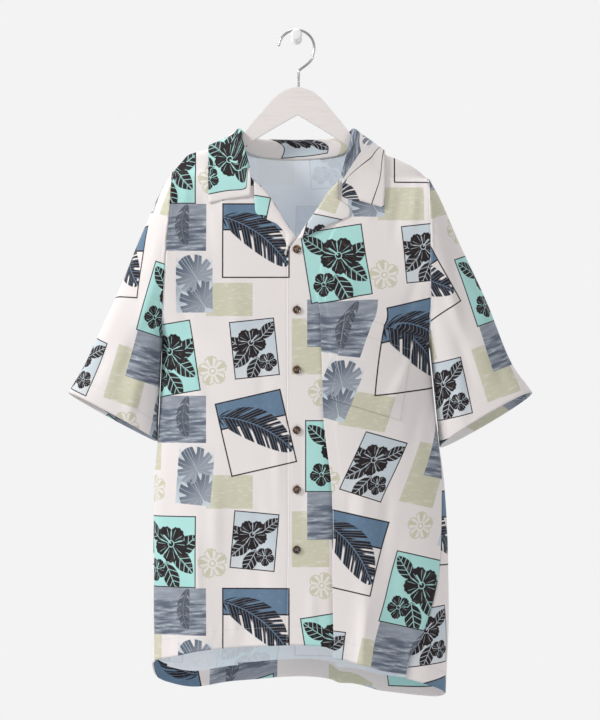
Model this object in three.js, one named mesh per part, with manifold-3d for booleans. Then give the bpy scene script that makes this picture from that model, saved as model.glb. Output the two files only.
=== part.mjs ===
// A short-sleeved hawaiian shirt with an open camp collar, buttoned down the front,
// hanging on a wooden hanger from a round wall peg.
// Millimetres, +Z up. The front faces -Y and the wall is on the +Y side.
// The origin is the inside of the hook's crown, where it bears on the peg.
// Right and left are the wearer's: right is -X, left is +X.

import * as THREE from 'three';
import { mergeVertices } from 'three/addons/utils/BufferGeometryUtils.js';
import Module from 'manifold-3d';

// Cloth
const WALL = 1.2; // one layer of shirting
const DOUBLE_WALL = 1.7; // collar and lapels: two layers with a thin interlining
const SEAM_GAP = 0.35; // kept between the edges of two panels
const SEAM_TRIM = 0.12; // degrees that each side seam's two edges draw back
const ROUNDNESS = 2.6; // exponent of the body's cross-section, 2 is an ellipse
const RIDGE_RADIUS = 9; // bend of the cloth over the hanger's arm
const FALL = 75; // length over which a shoulder slopes out to the full depth
const RIGHT_TIP_X = -177; // where the shoulder ridge meets each sleeve
const LEFT_TIP_X = 188;
const UNDERARM_Z = -447.5;

// The body's two sides and its depth in front and behind, at each height
const BODY = [
  { z: -200, right: RIGHT_TIP_X, left: LEFT_TIP_X, front: 46, back: 43 },
  { z: -241, right: -179, left: 189.5, front: 46, back: 43 },
  { z: -302, right: -185, left: 191, front: 48, back: 44 },
  { z: -385, right: -190, left: 191.5, front: 50, back: 46 },
  { z: -447, right: -193, left: 190.5, front: 51, back: 47 },
  { z: -508, right: -195.5, left: 195.5, front: 52, back: 48 },
  { z: -588, right: -199.5, left: 204, front: 53, back: 49 },
  { z: -655, right: -205, left: 213, front: 54, back: 50 },
  { z: -754, right: -206, left: 218, front: 55, back: 50 },
  { z: -841, right: -208, left: 219, front: 56, back: 50 },
  { z: -960, right: -207, left: 214, front: 57, back: 50 },
];

// Height of the shoulder ridge across the garment
const RIDGE = [
  { x: RIGHT_TIP_X, z: -201 },
  { x: -165, z: -187 },
  { x: -156, z: -177.5 },
  { x: -125, z: -168 },
  { x: -101, z: -157 },
  { x: -88, z: -151 },
  { x: 0, z: -147 },
  { x: 88, z: -152 },
  { x: 101, z: -158 },
  { x: 129, z: -177.5 },
  { x: 141, z: -182 },
  { x: 171, z: -197 },
  { x: LEFT_TIP_X, z: -211.5 },
];

// Angle of each side seam round the body: 0 is the front, 90 the left, -90 the right
const SIDE_SEAMS = [
  { z: -447, right: -90, left: 90 },
  { z: -600, right: -90, left: 86 },
  { z: -673, right: -89, left: 75 },
  { z: -768, right: -83, left: 67 },
  { z: -869, right: -78, left: 49.5 },
  { z: -902, right: -77, left: 42 },
  { z: -960, right: -77, left: 39 },
];

// Inner edge of each front: neck seam, roll line of the lapel, then the buttoned edge
const RIGHT_EDGE = [
  { z: -151, x: -88 },
  { z: -170, x: -83 },
  { z: -190, x: -76 },
  { z: -208, x: -68 },
  { z: -232, x: -43 },
  { z: -268, x: -20 },
  { z: -295, x: -3 },
  { z: -312, x: 9 },
  { z: -330, x: 14 },
  { z: -890, x: 15 },
];
const LEFT_EDGE = [
  { z: -152, x: 88 },
  { z: -172, x: 83 },
  { z: -191, x: 77 },
  { z: -206, x: 70 },
  { z: -232, x: 46 },
  { z: -252, x: 33 },
  { z: -269, x: 21 },
  { z: -288, x: 8 },
  { z: -300, x: 1 },
  { z: -312, x: -8 },
  { z: -326, x: -13 },
  { z: -373, x: -14 },
  { z: -730, x: -12.5 },
  { z: -890, x: -16 },
];
const BACK_NECK = [
  { x: -88, z: -151 },
  { x: -86, z: -162 },
  { x: -78, z: -170 },
  { x: -66, z: -178 },
  { x: -36, z: -183 },
  { x: 0, z: -185 },
  { x: 36, z: -183 },
  { x: 66, z: -178 },
  { x: 78, z: -170 },
  { x: 86, z: -162 },
  { x: 88, z: -152 },
];

// Height of the hem round the body, by angle
const RIGHT_HEM = [
  { angle: -90, z: -908 },
  { angle: -77, z: -904 },
  { angle: -54, z: -897 },
  { angle: -35, z: -887 },
  { angle: -17, z: -882 },
  { angle: 8, z: -877 },
];
const LEFT_HEM = [
  { angle: -6, z: -877 },
  { angle: 5.5, z: -881 },
  { angle: 11.5, z: -898 },
  { angle: 21, z: -908 },
  { angle: 29, z: -916 },
  { angle: 50, z: -926 },
];
const BACK_HEM = [
  { angle: 38, z: -926 },
  { angle: 60, z: -939 },
  { angle: 90, z: -953 },
  { angle: 115, z: -960 },
  { angle: 150, z: -955 },
  { angle: 165, z: -943 },
  { angle: 180, z: -934 },
  { angle: 200, z: -940 },
  { angle: 220, z: -947 },
  { angle: 240, z: -940 },
  { angle: 258, z: -928 },
  { angle: 270, z: -913 },
  { angle: 284, z: -905 },
];

// Soft folds: place at the top and at the hem, half width, height at the hem, where they start
const FRONT_FOLDS = [
  { top: -172, hem: -186, width: 12, height: -5, start: -420 },
  { top: -150, hem: -138, width: 20, height: 7, start: -560 },
  { top: -96, hem: -78, width: 24, height: -5, start: -520 },
  { top: 128, hem: 96, width: 16, height: 7, start: -640 },
  { top: 160, hem: 150, width: 20, height: -6, start: -600 },
];
const BACK_FOLDS = [
  { top: -150, hem: -150, width: 24, height: -8, start: -320 },
  { top: -92, hem: -104, width: 22, height: 5, start: -360 },
  { top: -38, hem: -52, width: 24, height: -7, start: -300 },
  { top: 22, hem: 8, width: 22, height: 5, start: -420 },
  { top: 66, hem: 62, width: 22, height: -8, start: -340 },
  { top: 118, hem: 124, width: 24, height: 5, start: -380 },
  { top: 158, hem: 176, width: 18, height: -6, start: -450 },
];

// The long fold beside the left front's button strip: its visible edge and how far it has closed
const LAP_FOLD = [
  { z: -152, x: 110, size: 0 },
  { z: -206, x: 90, size: 0 },
  { z: -252, x: 54, size: 0 },
  { z: -288, x: 32, size: 0 },
  { z: -320, x: 23, size: 0 },
  { z: -402, x: 32, size: 0.45 },
  { z: -530, x: 36, size: 0.75 },
  { z: -659, x: 50, size: 0.95 },
  { z: -759, x: 51, size: 1 },
  { z: -890, x: 54, size: 1 },
];
const LAP = { span: 22, swing: 11, height: 8, fade: 150 };
const STRIP_LIFT = 2.7; // left front over the right front along the button strip
const STRIP_LIFT_FROM = -250; // the lift grows between these heights
const STRIP_LIFT_TO = -310;

// Rows of the panels: shares of the armhole's height, then drops of the fronts' inner edge
const ARMHOLE_SHARES = [0, 0.012, 0.04, 0.105, 0.205, 0.345, 0.5, 0.655, 0.795, 0.895, 0.96, 0.988, 1];
const INNER_DROPS = [0, 2.6, 9, 24, 42, 62, 84, 107, 130, 151, 172, 200, 238];
const SIDE_ROWS = 11;
const RIGHT_COLUMNS = 15;
const STRIP_COLUMNS = 3;
const LAP_COLUMNS = 9;
const CHEST_COLUMNS = 9;
const SHOULDER_COLUMNS = 9; // of the back, on each side of its neck
const NECK_SHARES = [0, 0.014, 0.08, 0.16, 0.25, 0.33, 0.415, 0.5];

// Armholes and sleeves
const ARMHOLE_DEPTH = 42; // half of its front-to-back size
const ARMHOLE_ROUNDNESS = 2.2;
const SLEEVE_RINGS = 9;
const SLEEVE_START = 0.5; // clear of the body at the armhole seam
const SLEEVES = {
  right: { side: -1, tipX: RIGHT_TIP_X, outer: [-328, -521], inner: [-204, -590], depth: 31, tilt: 5 },
  left: { side: 1, tipX: LEFT_TIP_X, outer: [339, -521], inner: [211.5, -598], depth: 33, tilt: 9 },
};
const SLEEVE_EDGE = [
  { along: 0, right: 0, left: 0 },
  { along: 0.08, right: 4, left: 3 },
  { along: 0.3, right: 2, left: 0 },
  { along: 0.6, right: -4, left: -3 },
  { along: 0.85, right: -4, left: -9 },
  { along: 1, right: 0, left: 0 },
];

// Collar sections from the middle of the back, over the shoulder, to the front notch.
// seam, mid and edge lie over the body: out from the centre, drop below the ridge (+ behind,
// - in front), then height above the cloth. crest is the fold: out, y, z. away points from the
// crest into the fold: out, z. stack turns from +Y through up to -Y, from stand to leaf.
const COLLAR = [
  {
    seam: [0, 37], crest: [0, 28, -154.5], away: [0, -1],
    stack: 0, mid: [0, 37, 9], edge: [0, 66, 3.2],
  },
  {
    seam: [40, 33.9], crest: [43, 25, -153.5], away: [0.15, -0.99],
    stack: 6, mid: [50, 33, 8], edge: [58, 61, 3.2],
  },
  {
    seam: [67, 26.4], crest: [66, 17.5, -150.5], away: [0.5, -0.87],
    stack: 28, mid: [80, 20, 6], edge: [97, 41, 3.2],
  },
  {
    seam: [80.5, 12], crest: [76, 8, -144], away: [0.85, -0.5],
    stack: 62, mid: [98, 7, 5], edge: [121, 18, 5.2],
  },
  {
    seam: [86.3, -0.6], crest: [79, -2, -141.5], away: [0.93, -0.37],
    stack: 92, mid: [102, -0.5, 4.4], edge: [125, -1, 5.2],
  },
  {
    seam: [84.6, -10.5], crest: [78, -14, -151.5], away: [0.95, -0.3],
    stack: 135, mid: [101, -10, 4.4], edge: [126, -11, 4.2],
  },
  {
    seam: [76.4, -35.7], crest: [71.5, -25.5, -178], away: [0.97, -0.25],
    stack: 163, mid: [96, -34, 4], edge: [126, -44, 3.6],
  },
  {
    seam: [66, -59.3], crest: [63, -32.5, -209], away: [0.97, -0.25],
    stack: 172, mid: [65, -89, 4], edge: [124.5, -82, 3.6],
  },
];
const COLLAR_BEND = 2.5; // half the space between stand and leaf at the crest
const COLLAR_STEPS = 3; // rings between two of its sections

// Lapels: the parts of the front facings that show, from roll line to outer edge
const RIGHT_LAPEL = [
  { roll: [-60.5, -216], edge: [-60.5, -240] },
  { roll: [-43.5, -233], edge: [-59, -261] },
  { roll: [-25, -260], edge: [-44, -272] },
  { roll: [-9.5, -285], edge: [-27, -281] },
  { roll: [-1.5, -297], edge: [-15.5, -297] },
  { roll: [-8.5, -309], edge: [-15, -311] },
  { roll: [-15, -321], edge: [-17, -324] },
];
const LEFT_LAPEL = [
  { roll: [60.5, -216], edge: [60.6, -218.5] },
  { roll: [47, -230.5], edge: [60.6, -242] },
  { roll: [42, -237.5], edge: [77, -257] },
  { roll: [33, -252], edge: [76, -267] },
  { roll: [21, -269], edge: [52, -278] },
  { roll: [9, -287], edge: [29, -290] },
  { roll: [2.5, -298], edge: [8, -301] },
];
const LAPEL_LIFT = 2.5; // its outer face over the front, at the roll line and the edge
const LAPEL_SPRING = 1.6; // how much more it stands off half way across
const LAPEL_COLUMNS = 4;
const LAPEL_ROWS = 12;

// Patch pocket on the left chest
const POCKET = { corner: [68, -407], across: [101, -31], down: [-20, -122], lift: 1.9 };
const POCKET_COLUMNS = 7;
const POCKET_ROWS = 8;

// Buttons
const BUTTON_HEIGHTS = [-315.5, -401.8, -487, -573, -657.5, -743];
const BUTTON_X = 0.5;
const BUTTON_GAP = 0.6;
const BUTTON = { radius: 5.75, rimRadius: 4.6, dishRadius: 3.6, thickness: 2.4, edge: 1.9, dish: 1.7 };
const BUTTON_SIDES = 12;

// Hanger, hook and peg
const HANGER = { centreX: 2, thickness: 12, bevel: 1.6, boreX: 3, boreRadius: 2.4, boreDepth: 15 };
const HANGER_TILT = THREE.MathUtils.degToRad(0.6);
const HANGER_TOP = [
  [2, -80], [20, -85.5], [35, -96], [54, -117.5], [66, -131.5], [79, -148.5],
  [89, -159], [101, -163.5], [129, -182], [155, -193.5],
];
const HANGER_TIP = { x: 157, z: -201.5, radius: 8 };
const HANGER_UNDER = [[152, -208.5], [120, -195], [79, -169], [52, -153.5], [20, -130], [2, -123]];
const HOOK = { wire: 1.9, radius: 25.6, start: 172, end: -38, steps: 36, sides: 8 };
const HOOK_STEM = [[13.5, -48], [7, -55.5], [3.8, -64], [3, -75], [3, -91]];
const PEG = {
  radius: 5.5,
  headRadius: 8.2,
  headFront: -12,
  headBack: -6.5,
  flange: 8,
  flangeFront: 56,
  wall: 60,
};
const PEG_SIDES = 24;
const BEARING_GAP = 0.3; // between the hook's crown and the peg

const COLOURS = {
  cloth: 0xe9e6e1,
  lapel: 0xe4e2de,
  button: 0x3a2620,
  wood: 0xefe3dd,
  steel: 0xb9bcc0,
  peg: 0xf1f1ef,
};

// A smooth function through a table's rows, from one named column to another
function track(rows, from, to) {
  const sorted = [...rows].sort((a, b) => a[from] - b[from]);
  const xs = sorted.map((row) => row[from]);
  const ys = sorted.map((row) => row[to]);
  const rise = (i) => (ys[i + 1] - ys[i]) / (xs[i + 1] - xs[i]);
  const slopes = xs.map((_, i) => {
    if (i === 0) return rise(0);
    if (i === xs.length - 1) return rise(i - 1);
    const product = rise(i - 1) * rise(i);
    return product <= 0 ? 0 : (2 * product) / (rise(i - 1) + rise(i));
  });
  return (value) => {
    const x = THREE.MathUtils.clamp(value, xs[0], xs[xs.length - 1]);
    const i = xs.findIndex((end, k) => k > 0 && x <= end) - 1;
    const width = xs[i + 1] - xs[i];
    const t = (x - xs[i]) / width;
    const start = (1 + 2 * t) * (1 - t) ** 2 * ys[i] + t * (1 - t) ** 2 * width * slopes[i];
    return start + t * t * (3 - 2 * t) * ys[i + 1] + t * t * (t - 1) * width * slopes[i + 1];
  };
}

const rightSide = track(BODY, 'z', 'right');
const leftSide = track(BODY, 'z', 'left');
const frontDepth = track(BODY, 'z', 'front');
const backDepth = track(BODY, 'z', 'back');
const ridge = track(RIDGE, 'x', 'z');
const rightSeam = track(SIDE_SEAMS, 'z', 'right');
const leftSeam = track(SIDE_SEAMS, 'z', 'left');
const backNeck = track(BACK_NECK, 'x', 'z');
const lapEdge = track(LAP_FOLD, 'z', 'x');
const lapSize = track(LAP_FOLD, 'z', 'size');

const blend = THREE.MathUtils.lerp;
const smooth = THREE.MathUtils.smoothstep;
const centreX = (z) => (rightSide(z) + leftSide(z)) / 2;
const halfWidth = (z) => (leftSide(z) - rightSide(z)) / 2;
const signedPower = (value, power) => Math.sign(value) * Math.abs(value) ** power;
const steps = (count) => Array.from({ length: count + 1 }, (_, i) => i / count);

// Half depth of the armhole at a height, on the side that ends at the given shoulder tip
function armholeDepth(tipX, z) {
  const top = ridge(tipX);
  const share = Math.abs(z - (top + UNDERARM_Z) / 2) / ((top - UNDERARM_Z) / 2);
  return share >= 1 ? 0 : ARMHOLE_DEPTH * (1 - share ** ARMHOLE_ROUNDNESS) ** (1 / ARMHOLE_ROUNDNESS);
}

// Height of the soft folds at a place, outwards
function foldHeight(folds, x, z) {
  return folds.reduce((sum, fold) => {
    const grown = smooth(fold.start - z, 0, fold.start + 930);
    const middle = blend(fold.top, fold.hem, THREE.MathUtils.clamp((-200 - z) / 700, 0, 1));
    return sum + fold.height * grown * Math.exp(-(((x - middle) / fold.width) ** 2));
  }, 0);
}

// Depth of the cloth in front of or behind the hanger, before the sides close in
function fullDepth(x, z, inFront) {
  const drop = Math.max(ridge(x) - z, 0);
  const bend = Math.sqrt(1 - (1 - Math.min(drop, RIDGE_RADIUS) / RIDGE_RADIUS) ** 2);
  const depth = inFront ? frontDepth(z) : backDepth(z);
  const slope = 1 - Math.exp(-drop / FALL);
  const folds = foldHeight(inFront ? FRONT_FOLDS : BACK_FOLDS, x, z);
  return RIDGE_RADIUS * bend + (depth - RIDGE_RADIUS) * slope + folds;
}

// A point of the body's outer face, by its angle round the body and its height
function bodyPoint(degrees, z) {
  const angle = THREE.MathUtils.degToRad(degrees);
  const across = signedPower(Math.sin(angle), 2 / ROUNDNESS);
  const inwards = signedPower(Math.cos(angle), 2 / ROUNDNESS);
  const x = centreX(z) + halfWidth(z) * across;
  const edge = armholeDepth(across < 0 ? RIGHT_TIP_X : LEFT_TIP_X, z);
  const gentle = 1 - Math.abs(across) ** 3; // beside an open armhole the cloth stays nearly flat
  const closing = blend(Math.abs(inwards), gentle, edge / ARMHOLE_DEPTH);
  const depth = edge + (fullDepth(x, z, inwards > 0) - edge) * closing;
  return new THREE.Vector3(x, -Math.sign(inwards) * (depth + SEAM_GAP / 2), z);
}

// Angle round the front at which the body passes a place across it
function frontAngle(x, z) {
  const share = THREE.MathUtils.clamp((x - centreX(z)) / halfWidth(z), -1, 1);
  return THREE.MathUtils.radToDeg(Math.asin(signedPower(share, ROUNDNESS / 2)));
}

// Heights of the rows along a front's inner and outer edge
function frontHeights(edge, tipX, innerHem, outerHem) {
  const innerTop = Math.max(...edge.map((row) => row.z));
  const rows = ARMHOLE_SHARES.map((share, i) => ({
    inner: innerTop - INNER_DROPS[i],
    outer: blend(ridge(tipX), UNDERARM_Z, share),
    shoulder: 1 - share,
    hem: 0,
  }));
  const last = rows[rows.length - 1];
  const lower = steps(SIDE_ROWS).slice(1).map((share) => ({
    inner: blend(last.inner, innerHem, share),
    outer: blend(last.outer, outerHem, share),
    shoulder: 0,
    hem: share,
  }));
  return [...rows, ...lower];
}

// Share of the way across a row that an angle stands for
function acrossShare(angle, from, to) {
  const place = (degrees) => signedPower(Math.sin(THREE.MathUtils.degToRad(degrees)), 2 / ROUNDNESS);
  return (place(angle) - place(from)) / (place(to) - place(from));
}

// Rows of a front's points. anglesAt gives a row's angles, from its inner edge to its outer one,
// and each column runs down to the hem's height at the angle where it ends.
function frontPoints(rows, ends, anglesAt, hem) {
  const last = rows[rows.length - 1];
  const hemHeights = anglesAt(last).map(hem);
  return rows.map((row) => {
    const angles = anglesAt(row);
    const [innerX, outerX] = ends(row);
    return angles.map((angle, i) => {
      const share = acrossShare(angle, angles[0], angles[angles.length - 1]);
      const shoulderBow = ridge(blend(innerX, outerX, share)) - blend(ridge(innerX), ridge(outerX), share);
      const hemBow = hemHeights[i] - blend(last.inner, last.outer, share);
      const z = blend(row.inner, row.outer, share) + row.shoulder * shoulderBow + row.hem ** 2 * hemBow;
      return bodyPoint(angle, z);
    });
  });
}

// The wearer's right front, which lies under the left one along the button strip
function rightFrontRows() {
  const edgeX = track(RIGHT_EDGE, 'z', 'x');
  const hem = track(RIGHT_HEM, 'angle', 'z');
  const rows = frontHeights(RIGHT_EDGE, RIGHT_TIP_X, RIGHT_HEM.at(-1).z, hem(rightSeam(BODY.at(-1).z)));
  const ends = (row) => [edgeX(row.inner), rightSide(row.outer)];
  const anglesAt = (row) => {
    const from = frontAngle(edgeX(row.inner), row.inner);
    const to = rightSeam(row.outer) + (row.hem > 0 ? SEAM_TRIM : 0);
    return steps(RIGHT_COLUMNS).map((u) => blend(from, to, u));
  };
  return frontPoints(rows, ends, anglesAt, hem);
}

// How far the left front stands off the body's plain form, past the lap fold
function leftLift(x, z) {
  const strip = STRIP_LIFT * smooth(STRIP_LIFT_FROM - z, 0, STRIP_LIFT_FROM - STRIP_LIFT_TO);
  const past = x - lapMiddle(z) - LAP.span / 2;
  return (strip + LAP.height * lapSize(z)) * (1 - smooth(past, 0, LAP.fade));
}

// Middle of the lap fold's section, behind its visible edge
function lapMiddle(z) {
  return lapEdge(z) + (LAP.swing - LAP.span / 4) * lapSize(z);
}

// The wearer's left front: button strip, lap fold and chest
function leftFrontRows() {
  const edgeX = track(LEFT_EDGE, 'z', 'x');
  const hem = track(LEFT_HEM, 'angle', 'z');
  const rows = frontHeights(LEFT_EDGE, LEFT_TIP_X, LEFT_HEM[0].z, hem(leftSeam(LEFT_HEM.at(-1).z)));
  const ends = (row) => [edgeX(row.inner), leftSide(row.outer)];
  const anglesAt = (row) => {
    const middle = lapMiddle(row.inner);
    const from = frontAngle(edgeX(row.inner), row.inner);
    const lapStart = frontAngle(middle - LAP.span / 2, row.inner);
    const lapEnd = frontAngle(middle + LAP.span / 2, row.inner);
    const seam = leftSeam(row.outer) - (row.hem > 0 ? SEAM_TRIM : 0);
    return [
      ...steps(STRIP_COLUMNS).slice(0, -1).map((u) => blend(from, lapStart, u)),
      ...steps(LAP_COLUMNS).map((u) => blend(lapStart, lapEnd, u)),
      ...steps(CHEST_COLUMNS).slice(1).map((u) => blend(lapEnd, seam, u)),
    ];
  };
  return frontPoints(rows, ends, anglesAt, hem).map((points, j) => {
    const size = lapSize(rows[j].inner);
    const lift = leftLift(lapMiddle(rows[j].inner), rows[j].inner);
    return points.map((point, i) => {
      const through = THREE.MathUtils.clamp((i - STRIP_COLUMNS) / LAP_COLUMNS, 0, 1);
      if (through === 1) {
        point.y -= leftLift(point.x, point.z) * Math.min(1, (ridge(point.x) - point.z) / 20);
        return point;
      }
      point.x -= LAP.swing * size * Math.sin(2 * Math.PI * (through - 0.5));
      point.y -= lift - LAP.height * size * (1 - smooth(through, 0.2, 0.8));
      return point;
    });
  });
}

// The back, from the left side seam round behind to the right side seam
function backRows() {
  const hem = track(BACK_HEM, 'angle', 'z');
  const neck = [BACK_NECK.at(-1).x, BACK_NECK[0].x];
  const neckAngles = neck.map((x) => 180 - frontAngle(x, ridge(x)));
  const topHeight = (x) => (x > neck[1] + 0.1 && x < neck[0] - 0.1 ? backNeck(x) : ridge(x));
  const neckShares = [...NECK_SHARES, ...NECK_SHARES.slice(0, -1).reverse().map((share) => 1 - share)];
  const anglesAt = (from, to) => [
    ...steps(SHOULDER_COLUMNS).slice(0, -1).map((u) => blend(from, neckAngles[0], u)),
    ...neckShares.map((share) => blend(neckAngles[0], neckAngles[1], share)),
    ...steps(SHOULDER_COLUMNS).slice(1).map((u) => blend(neckAngles[1], to, u)),
  ];
  const leftHem = hem(leftSeam(LEFT_HEM.at(-1).z));
  const rightHem = hem(360 + rightSeam(BODY.at(-1).z));
  const seams = (share) => (share === 0 ? [90 + SEAM_TRIM / 10, 270 - SEAM_TRIM / 10] : [
    leftSeam(blend(UNDERARM_Z, leftHem, share)) + SEAM_TRIM,
    360 + rightSeam(blend(UNDERARM_Z, rightHem, share)) - SEAM_TRIM,
  ]);
  const tops = anglesAt(90, 270).map((angle) => topHeight(bodyPoint(angle, ridge(0)).x));
  const bottoms = anglesAt(...seams(1)).map(hem);
  const rows = [
    ...ARMHOLE_SHARES.map((share) => ({ share, hem: 0 })),
    ...steps(SIDE_ROWS).slice(1).map((share) => ({ share: 1, hem: share })),
  ];
  return rows.map((row) => anglesAt(...seams(row.hem)).map((angle, i) => {
    const point = bodyPoint(angle, blend(blend(tops[i], UNDERARM_Z, row.share), bottoms[i], row.hem));
    if (Math.cos(THREE.MathUtils.degToRad(angle)) > 0) point.y += SEAM_GAP;
    return point;
  }));
}

// A sleeve as rings from the armhole seam to the hem, top first, then down the front
function sleeveRings({ side, tipX, outer, inner, depth, tilt }, name) {
  const edge = track(SLEEVE_EDGE, 'along', name);
  const bodySide = side < 0 ? rightSide : leftSide;
  const middle = [(outer[0] + inner[0]) / 2, (outer[1] + inner[1]) / 2];
  const ringShares = [
    ...ARMHOLE_SHARES.map((share) => ({ share, face: -1 })),
    ...ARMHOLE_SHARES.slice(1, -1).reverse().map((share) => ({ share, face: 1 })),
  ];
  return steps(SLEEVE_RINGS).map((along) => ringShares.map(({ share, face }) => {
    const z = blend(ridge(tipX), UNDERARM_Z, share);
    const start = new THREE.Vector3(
      bodySide(z) + side * SLEEVE_START,
      face * (armholeDepth(tipX, z) + SEAM_GAP / 2),
      z,
    );
    const high = 1 - 2 * share;
    const round = (1 - Math.abs(high) ** ARMHOLE_ROUNDNESS) ** (1 / ARMHOLE_ROUNDNESS);
    const end = new THREE.Vector3(
      middle[0] + high * (outer[0] - middle[0]),
      face * depth * round,
      middle[1] + high * (outer[1] - middle[1]) - face * tilt * round,
    );
    const point = start.lerp(end, along);
    point.x += side * edge(along) * (1 - share);
    return point;
  }));
}

// A point over the body's outer face: place across, drop below the ridge, height above the cloth
function overBody(x, drop, height) {
  const face = (px, pdrop) => {
    const z = ridge(px) - Math.abs(pdrop);
    return bodyPoint(pdrop < 0 ? frontAngle(px, z) : 180 - frontAngle(px, z), z);
  };
  const nudge = 0.8;
  const along = face(x + nudge, drop).sub(face(x - nudge, drop));
  const down = face(x, drop + nudge).sub(face(x, drop - nudge));
  return face(x, drop).addScaledVector(along.cross(down).normalize(), height);
}

// One section of the collar, from its seam over the crest to the leaf's edge
function collarSection(place, side) {
  const value = (key, index) => {
    const rows = COLLAR.map((row, s) => ({ s, value: index === undefined ? row[key] : row[key][index] }));
    return track(rows, 's', 'value')(place);
  };
  const over = (key) => overBody(side * value(key, 0), value(key, 1), key === 'seam' ? 0 : value(key, 2));
  const crest = new THREE.Vector3(side * value('crest', 0), value('crest', 1), value('crest', 2));
  const away = new THREE.Vector3(side * value('away', 0), 0, value('away', 1)).normalize();
  const turn = THREE.MathUtils.degToRad(value('stack'));
  const up = new THREE.Vector3(-side * away.z, 0, Math.abs(away.x)).normalize();
  const stack = new THREE.Vector3(0, Math.cos(turn), 0).addScaledVector(up, Math.sin(turn));
  const inside = crest.clone().addScaledVector(away, COLLAR_BEND);
  const bend = (sign) => inside.clone().addScaledVector(stack, sign * COLLAR_BEND);
  const leafTop = bend(1);
  const mid = over('mid');
  const edge = over('edge');
  const leaf = [leafTop, leafTop.clone().lerp(mid, 0.5), mid, mid.clone().lerp(edge, 0.5), edge];
  return [over('seam'), bend(-1), crest, ...leaf];
}

function collarRows() {
  const count = (COLLAR.length - 1) * COLLAR_STEPS;
  const places = steps(count).map((share) => share * (COLLAR.length - 1));
  const right = [...places].reverse().map((place) => collarSection(place, -1));
  const left = places.slice(1).map((place) => collarSection(place, 1));
  return [...right, ...left];
}

// A place on the front's outer face, with what lies on it lifted off
function onFront(x, z, isLeft, lift) {
  const point = bodyPoint(frontAngle(x, z), z);
  point.y -= lift + (isLeft ? leftLift(Math.max(x, lapMiddle(z)), z) : 0);
  return point;
}

function lapelRows(table, isLeft) {
  const along = (key, axis) => track(table.map((row, i) => ({ i, value: row[key][axis] })), 'i', 'value');
  const [rollX, rollZ] = [along('roll', 0), along('roll', 1)];
  const [edgeX, edgeZ] = [along('edge', 0), along('edge', 1)];
  return steps(LAPEL_ROWS).map((v) => steps(LAPEL_COLUMNS).map((u) => {
    const i = v * (table.length - 1);
    const x = blend(rollX(i), edgeX(i), u);
    const z = blend(rollZ(i), edgeZ(i), u);
    return onFront(x, z, isLeft, LAPEL_LIFT + LAPEL_SPRING * Math.sin(Math.PI * u));
  }));
}

// Depth of a panel's flat facets at a place seen from the front
function facetDepth(rows, x, z) {
  for (let j = 0; j < rows.length - 1; j += 1) {
    for (let i = STRIP_COLUMNS + LAP_COLUMNS; i < rows[j].length - 1; i += 1) {
      const corners = [rows[j][i], rows[j][i + 1], rows[j + 1][i + 1], rows[j + 1][i]];
      for (const [a, b, c] of [[0, 1, 2], [0, 2, 3]].map((side) => side.map((k) => corners[k]))) {
        const area = (b.x - a.x) * (c.z - a.z) - (c.x - a.x) * (b.z - a.z);
        const s = ((x - a.x) * (c.z - a.z) - (c.x - a.x) * (z - a.z)) / area;
        const t = ((b.x - a.x) * (z - a.z) - (x - a.x) * (b.z - a.z)) / area;
        if (s >= 0 && t >= 0 && s + t <= 1) return a.y + s * (b.y - a.y) + t * (c.y - a.y);
      }
    }
  }
  return bodyPoint(frontAngle(x, z), z).y - leftLift(x, z);
}

// The pocket lies on the left front's own facets, moved out
function pocketRows(front) {
  const { corner, across, down, lift } = POCKET;
  return steps(POCKET_ROWS).map((v) => steps(POCKET_COLUMNS).map((u) => {
    const x = corner[0] + u * across[0] + v * down[0];
    const z = corner[1] + u * across[1] + v * down[1];
    return new THREE.Vector3(x, facetDepth(front, x, z) - lift, z);
  }));
}

// Volume inside a closed triangle mesh, negative where its faces point inwards
function signedVolume(geometry) {
  const position = geometry.getAttribute('position');
  const index = geometry.getIndex();
  const corner = (i) => new THREE.Vector3().fromBufferAttribute(position, index.getX(i));
  let volume = 0;
  for (let i = 0; i < index.count; i += 3) {
    volume += corner(i).dot(corner(i + 1).cross(corner(i + 2))) / 6;
  }
  return volume;
}

// The same geometry with merged corners and its faces pointing out
function closedGeometry(source) {
  source.deleteAttribute('normal');
  source.deleteAttribute('uv');
  const geometry = mergeVertices(source, 1e-3);
  if (signedVolume(geometry) < 0) {
    const turned = Array.from(geometry.getIndex().array);
    for (let i = 0; i < turned.length; i += 3) [turned[i], turned[i + 1]] = [turned[i + 1], turned[i]];
    geometry.setIndex(turned);
  }
  geometry.computeVertexNormals();
  return geometry;
}

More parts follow.
